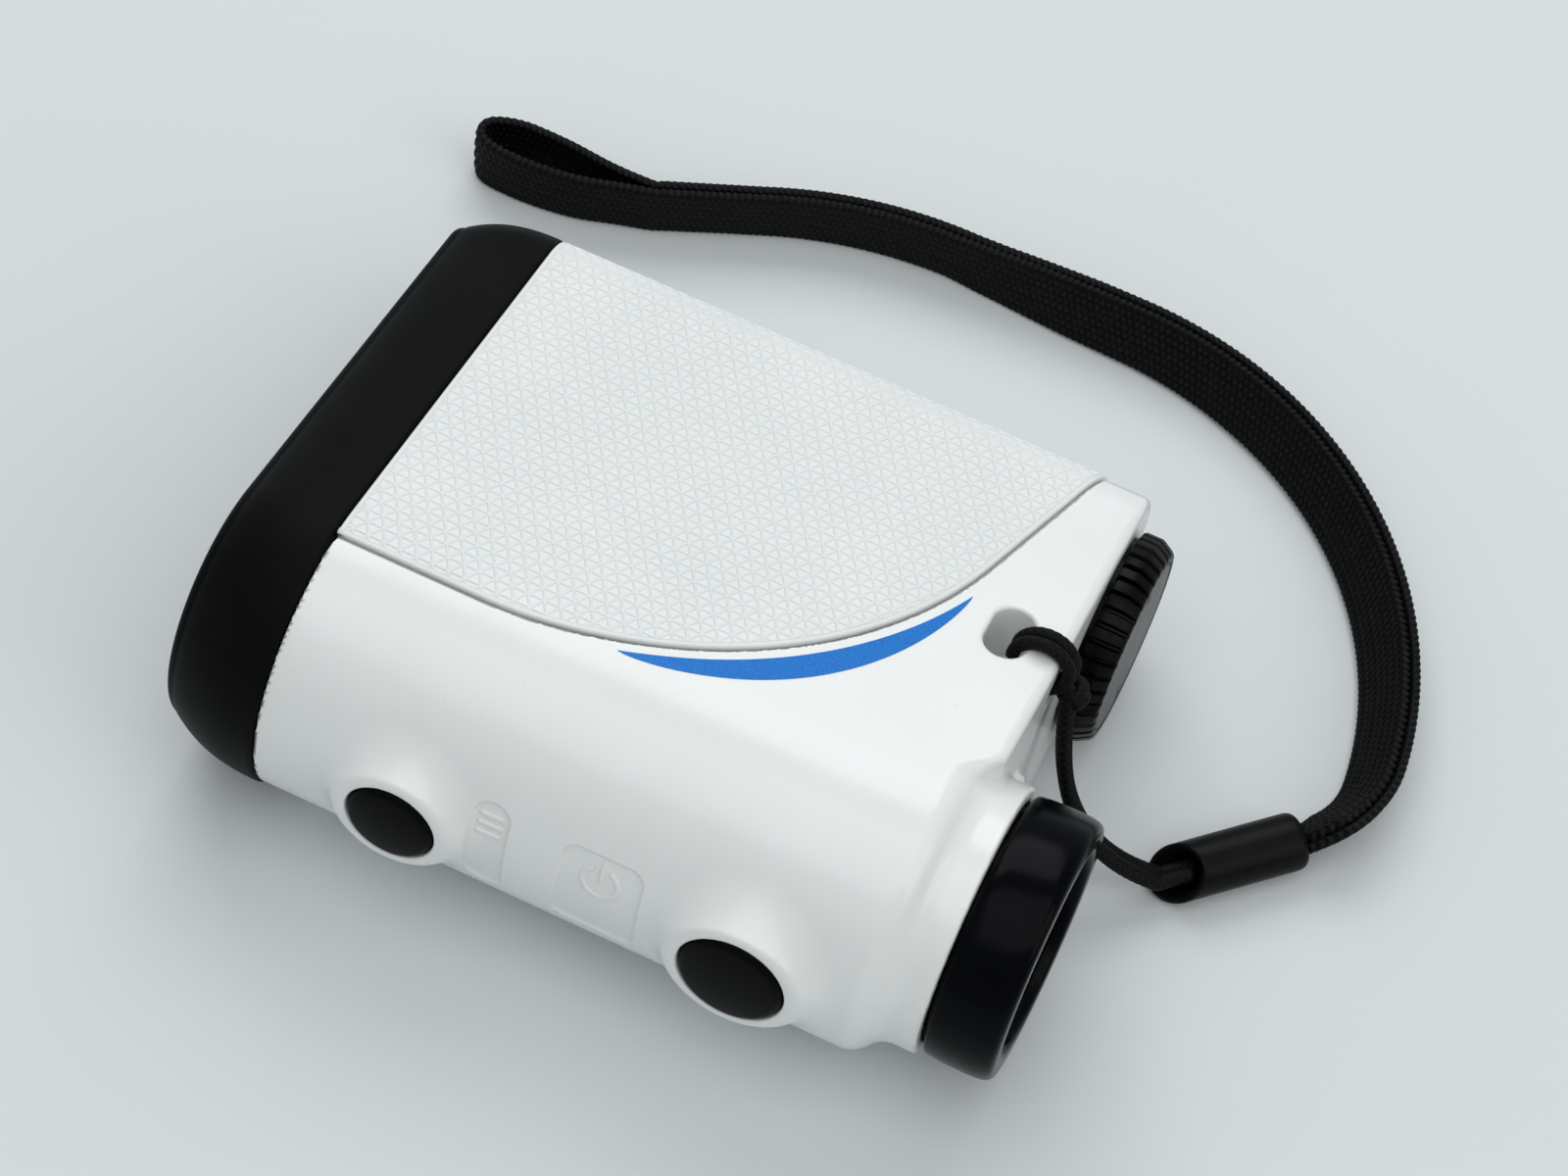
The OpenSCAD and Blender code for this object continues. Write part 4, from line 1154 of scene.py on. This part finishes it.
def braided_cord(name, path, radius, body, turns=10, pitch=2.0):
    """A round cord with a raised braid of crossing strands."""
    path = even(np.asarray(path, float), 0.16)
    tangent, a, b = tube_frames(path)
    around = 28
    angles = np.linspace(0, 2 * math.pi, around, endpoint=False)
    run = np.arange(len(path)) * 0.16
    u = run[:, None] / pitch * turns / 2
    v = angles[None, :] / (2 * math.pi) * turns
    left = np.cos(math.pi * (u + v)) ** 2
    right = np.cos(math.pi * (u - v)) ** 2
    over = np.where(np.sin(math.pi * u) * np.sin(math.pi * v) > 0, left, right)
    r = radius * (0.93 + 0.07 * over)
    r = r * np.minimum(1, 0.35 + np.minimum(run, run[::-1])[:, None] / 0.5)
    points = path[:, None, :] + r[..., None] * (
        np.cos(angles)[None, :, None] * a[:, None, :] + np.sin(angles)[None, :, None] * b[:, None, :])
    flat = points.reshape(-1, 3)
    faces = grid_faces(len(path), around, False, True) + end_caps(len(path), around)
    cord = piece(name, flat, outward(flat - flat.mean(0), faces), body, "cord", CORD_NYLON)
    # The braid's heights drive the painted highlight on the strand crowns.
    store_thread(cord, over)
    return cord


KNOT = np.array([-36.2, -1.3, 24.3])
CORD_DROP = np.array([-38.8, 8.0, 10.0])
FERRULE_IN = np.array([-50.9, 2.0, 3.16])
FERRULE_OUT = np.array([-62.5, -9.6, 3.16])
SWING = (-37.0, -1.2)

c2, s2 = math.cos(SLOPE), math.sin(SLOPE)


def on_panel(x, v, w):
    """A point given along the upper panel from the eyelet's middle and above it, in the row frame."""
    d = v - EYELET_D
    h = TUBE_R + w
    return to_row([(x, d * c2 - h * s2, d * s2 + h * c2)])[0]


def hitch_path(aside):
    """From the knot, up the rear wall, over the bar, down into the slot and back out of the rear hole."""
    reach = 3.05
    loop = []
    for a in np.linspace(-130, 190, 60):
        r = math.radians(a)
        loop.append(on_panel(BAR_X - reach * math.cos(r), aside + 0.25 * math.sin(r),
                             BAR_Z + reach * math.sin(r)))
    return np.array(loop)


hitches = [
    braided_cord(f"hitch_loop_{side}", hitch_path(aside), 0.74, "housing")
    for side, aside in (("a", -0.74), ("b", 0.74))
]
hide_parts("strap_hitch")


def knot_path():
    """A small knot: two tight coils round the doubled cord."""
    turns = np.linspace(0, 4.2 * math.pi, 90)
    lean = np.array([0.35, -0.25, 0.9])
    lean /= np.linalg.norm(lean)
    a = np.cross(lean, [1.0, 0.0, 0.0])
    a /= np.linalg.norm(a)
    b = np.cross(lean, a)
    return np.array([
        KNOT + 0.95 * (math.cos(t) * a + math.sin(t) * b) + lean * (t / (4.2 * math.pi) - 0.5) * 2.2
        for t in turns
    ])


braided_cord("hitch_knot", knot_path(), 0.78, "housing")


def cord_line(offset_start, offset_end, rise):
    """One strand's run from the knot down to the ferrule's mouth."""
    t = np.linspace(0.02, 1.0, 90)[:, None]
    base = (1 - t) ** 2 * KNOT + 2 * t * (1 - t) * (CORD_DROP + rise) + t ** 2 * (FERRULE_IN)
    shift = np.array(offset_start) * (1 - t) + np.array(offset_end) * t
    tail = FERRULE_IN + np.array(offset_end) + (FERRULE_OUT - FERRULE_IN) * 0.25
    return np.vstack([base + shift, tail])


strands = [
    braided_cord("cord_strand_a", cord_line((0.1, 0.3, 0.4), (-0.1, 0.75, 0.35), (0, 0, 0)),
                 0.86, None),
    braided_cord("cord_strand_b", cord_line((0.3, -0.4, -0.9), (0.15, -0.75, -0.35), (0.2, -0.6, -1.0)),
                 0.86, None),
]
for strand in strands:
    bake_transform(strand)
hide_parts("strap_cord")


def ferrule_piece():
    """An oval sleeve, cut on the slant where the cords go in, with rounded edges."""
    axis = FERRULE_OUT - FERRULE_IN
    length = np.linalg.norm(axis)
    ahead = axis / length
    side = np.cross([0, 0, 1.0], ahead)
    up = np.array([0, 0, 1.0])
    base = FERRULE_IN - ahead * 0.3
    total = length - 0.2
    around = 72
    angles = np.linspace(0, 2 * math.pi, around, endpoint=False)
    # profile of the wall: how far along, 0 at the cut and 1 at the far end, and how far in
    profile = [(0.0, 0.42), (0.0, 0.2), (0.006, 0.08), (0.02, 0.0)]
    profile += [(t, 0.0) for t in np.linspace(0.05, 0.93, 22)]
    profile += [(0.96, 0.05), (0.985, 0.2), (1.0, 0.42), (1.0, 0.75), (0.97, 0.85), (0.9, 0.9)]
    profile += [(t, 0.9) for t in np.linspace(0.8, 0.1, 8)] + [(0.01, 0.8), (0.0, 0.65)]
    rings = []
    for t, inward in profile:
        half_w, half_h = 3.15 - inward, 3.0 - inward
        slant = 2.1 + 2.1 * np.sin(angles - 0.35)
        along = slant * (1 - t) + total * t
        ring = base + along[:, None] * ahead + (half_w * np.cos(angles))[:, None] * side \
            + (half_h * np.sin(angles))[:, None] * up
        rings.append(ring)
    points = np.concatenate(rings)
    faces = outward(points - points.mean(0), grid_faces(len(profile), around, True, True))
    sleeve = piece("ferrule_sleeve", points, faces, "cord_and_ferrule", "black_part", FERRULE)
    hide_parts("strap_ferrule")


ferrule_piece()

# The band's middle line, as in the CAD: [radius, angle turned], and [length, 0] for a straight.
BAND_START = np.array([-62.0, -9.1])
BAND_HEADING = math.radians(226)
BAND_LEGS = ((2.0, 0.0), (11.8, 49.5), (45.8, 83.5), (20.0, 0.0), (51.0, 26.5), (13.5, 0.0))
LOOP_TURN = math.radians(4.5)
LAYER_T = 1.05
BAND_H = 7.8
WEAVE_COLUMN = 0.975
WEAVE_PITCH = 0.8


def band_middle(step=0.16):
    points, p, h = [], BAND_START.copy(), BAND_HEADING
    for size, turn in BAND_LEGS:
        turn = math.radians(turn)
        length = size * turn if turn else size
        n = int(length / step)
        for k in range(n):
            t = k / n
            if turn:
                a = h + turn * t
                q = p + size * np.array([math.sin(a) - math.sin(h), math.cos(h) - math.cos(a)])
            else:
                q = p + size * t * np.array([math.cos(h), math.sin(h)])
            points.append(q)
        if turn:
            a = h + turn
            p = p + size * np.array([math.sin(a) - math.sin(h), math.cos(h) - math.cos(a)])
            h = a
        else:
            p = p + size * np.array([math.cos(h), math.sin(h)])
    return np.array(points), p, h


def tape_path():
    """The tape's middle line from the ferrule out along the outer layer, round the loop and back."""
    middle, end, heading = band_middle()
    along = np.gradient(middle, axis=0)
    along /= np.linalg.norm(along, axis=1, keepdims=True)
    right = np.stack([along[:, 1], -along[:, 0]], 1)
    gap = LAYER_T / 2 + 0.04
    outer, inner = middle + right * gap, middle - right * gap
    c, s = math.cos(LOOP_TURN), math.sin(LOOP_TURN)
    local = ((5.0, -0.9), (11.0, -1.9), (16.2, -2.2), (19.8, -1.2), (20.5, 0.5), (19.0, 1.9),
             (14.5, 2.6), (8.5, 2.4), (3.5, 1.3))
    loop = [end + np.array([c * x - s * y, s * x + c * y]) for x, y in local]
    bend = smooth_path([outer[-6], outer[-1]] + loop + [inner[-1], inner[-6]], 0.16)
    path = np.vstack([outer[:-6], bend, inner[:-6][::-1]])
    return even(path, 0.16), len(outer)


def lean_at(run):
    """How far the band leans outwards, in degrees, along its way from the ferrule."""
    return np.interp(run, [0, 8, 30, 62, 85, 100, 125, 150, 175], [38, 30, 27, 24, 14, -4, -7, -4, 0])


def weave(across, along):
    """Rows of small V stitches along the tape, 0 to 1."""
    column = across / WEAVE_COLUMN
    c = column - np.round(column)
    phase = along / WEAVE_PITCH + np.abs(c) * 1.1 + 0.5 * (np.round(column) % 2)
    return (0.5 + 0.5 * np.cos(2 * math.pi * phase)) * np.cos(math.pi * c) ** 0.8


def wrist_tape():
    path, _ = tape_path()
    run = np.concatenate([[0], np.cumsum(np.linalg.norm(np.diff(path, axis=0), axis=1))])
    lean = np.radians(lean_at(np.minimum(run, run[-1] - run)))
    along = np.gradient(path, axis=0)
    along /= np.linalg.norm(along, axis=1, keepdims=True)
    right = np.stack([along[:, 1], -along[:, 0]], 1)
    # On the way back the tape's right-hand side faces inwards, so the lean changes sign there.
    turn_over = np.interp(run, [run[-1] / 2 - 6, run[-1] / 2 + 6], [1, -1])
    lean = lean * turn_over
    face_n, edge_n = 26, 4
    heights = np.linspace(-0.5, 0.5, face_n) * (BAND_H - 0.7)
    section = [(h, LAYER_T / 2) for h in heights]
    for k in range(1, edge_n):
        a = math.pi * k / edge_n
        section.append(((BAND_H - 0.7) / 2 + 0.35 * math.sin(a), LAYER_T / 2 * math.cos(a)))
    section += [(-h, -LAYER_T / 2) for h in heights]
    for k in range(1, edge_n):
        a = math.pi * k / edge_n
        section.append((-(BAND_H - 0.7) / 2 - 0.35 * math.sin(a), -LAYER_T / 2 * math.cos(a)))
    section = np.array(section)
    up = np.stack([right[:, 0] * np.sin(lean), right[:, 1] * np.sin(lean), np.cos(lean)], 1)
    out = np.stack([right[:, 0] * np.cos(lean), right[:, 1] * np.cos(lean), -np.sin(lean)], 1)
    stitch = weave(section[None, :, 0], run[:, None])
    depth = 0.26 * (stitch - 0.5)
    crown = 0.12 * (1 - (2 * section[:, 0] / BAND_H) ** 2)
    selvedge = np.clip((BAND_H / 2 - 0.15 - np.abs(section[:, 0])) / 0.5, 0.3, 1)
    thick = section[None, :, 1] + np.sign(section[None, :, 1]) * (depth * selvedge + crown[None, :])
    bulge = 1 + 0.012 * np.cos(2 * math.pi * run / WEAVE_PITCH)
    tall = section[None, :, 0] * bulge[:, None]
    squeeze = np.clip(0.55 + run / 9, 0, 1) * np.clip(0.55 + (run[-1] - run) / 9, 0, 1)
    tall = tall * squeeze[:, None]
    lift = BAND_H / 2 * np.cos(lean) + LAYER_T * np.abs(np.sin(lean)) + 0.05
    lift = lift * squeeze + 0.6 * (1 - squeeze)
    base = np.column_stack([path, lift])
    points = base[:, None, :] + tall[..., None] * up[:, None, :] + thick[..., None] * out[:, None, :]
    flat = points.reshape(-1, 3)
    faces = grid_faces(len(path), len(section), False, True) + end_caps(len(path), len(section))
    tape = piece("wrist_tape", flat, outward(flat - flat.mean(0), faces), None, "band", BAND_NYLON)
    # The stitch heights drive the painted highlight on the stitch crowns.
    store_thread(tape, np.broadcast_to(stitch, tall.shape))
    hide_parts("wrist_band")
    return tape


tape = wrist_tape()
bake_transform(tape)

# ---- the CAD nodes that stay in view or inside ----

slot_of = {entry["node"]: entry["material_slot"] for entry in frame["record"]["subparts"]}
BEVELLED = ("front_plate", "front_frame", "dioptre_sleeve", "eyepiece_cell", "battery_tube")
for name, node in frame["nodes"].items():
    node.data.materials.clear()
    node.data.materials.append(SLOT_MATERIAL[slot_of[name]])
    if name in BEVELLED:
        bevel = node.modifiers.new("edges", "BEVEL")
        bevel.width = 0.15 * MM
        bevel.segments = 2
        bevel.limit_method = "ANGLE"

# ---- floor, light and camera ----

FLOOR_HALF = 0.9
floor = piece("table_top", np.array([(-1, -1, 0), (1, -1, 0), (1, 1, 0), (-1, 1, 0)]) * FLOOR_HALF / MM,
              [(0, 1, 2, 3)], None, None, floor_paper(), smooth=False)


def area_light(name, where, size, power, colour):
    data = bpy.data.lights.new(name, "AREA")
    data.shape = "RECTANGLE"
    data.size, data.size_y = size
    data.energy = power
    data.color = colour
    lamp = bpy.data.objects.new(name, data)
    lamp.location = where
    aim = Vector((0.0, -0.01, 0.01)) - Vector(where)
    lamp.rotation_euler = aim.to_track_quat("-Z", "Y").to_euler()
    bpy.context.scene.collection.objects.link(lamp)


area_light("window", (0.25, -0.55, 0.75), (0.8, 0.6), 3.6, (0.97, 0.985, 1.0))
area_light("ceiling", (-0.1, 0.25, 0.95), (1.0, 0.8), 2.9, (0.98, 0.99, 1.0))
area_light("fill", (-0.7, 0.1, 0.5), (0.5, 0.5), 1.0, (1.0, 0.995, 0.98))

world = bpy.data.worlds.new("studio")
world.use_nodes = True
world.node_tree.nodes["Background"].inputs["Color"].default_value = (0.86, 0.9, 0.93, 1)
world.node_tree.nodes["Background"].inputs["Strength"].default_value = 0.5
bpy.context.scene.world = world

# The camera's place round a point of the body: degrees, then metres.
VIEW_AZIMUTH, VIEW_ELEVATION, VIEW_ROLL = 197.565, 57.121, 9.199
VIEW_DISTANCE = 0.44565
VIEW_TARGET = Vector((0.0003, 0.0055, 0.0188))
VIEW_LENS = 100.35
VIEW_SHIFT = (0.0461, 0.0227)


def photo_camera():
    az, el, roll = (math.radians(a) for a in (VIEW_AZIMUTH, VIEW_ELEVATION, VIEW_ROLL))
    back = Vector((math.sin(az) * math.cos(el), -math.cos(az) * math.cos(el), math.sin(el)))
    right = Vector((math.cos(az), math.sin(az), 0.0))
    up = back.cross(right)
    across = right * math.cos(roll) + up * math.sin(roll)
    upward = up * math.cos(roll) - right * math.sin(roll)
    data = bpy.data.cameras.new("camera")
    data.sensor_width = 36.0
    data.lens = VIEW_LENS
    data.shift_x, data.shift_y = VIEW_SHIFT
    data.clip_start = 0.01
    camera = bpy.data.objects.new("camera", data)
    turn = Matrix((across, upward, back)).transposed().to_4x4()
    camera.matrix_world = Matrix.Translation(VIEW_TARGET + back * VIEW_DISTANCE) @ turn
    bpy.context.scene.collection.objects.link(camera)
    bpy.context.scene.camera = camera


photo_camera()
bpy.context.scene.view_settings.view_transform = "Standard"
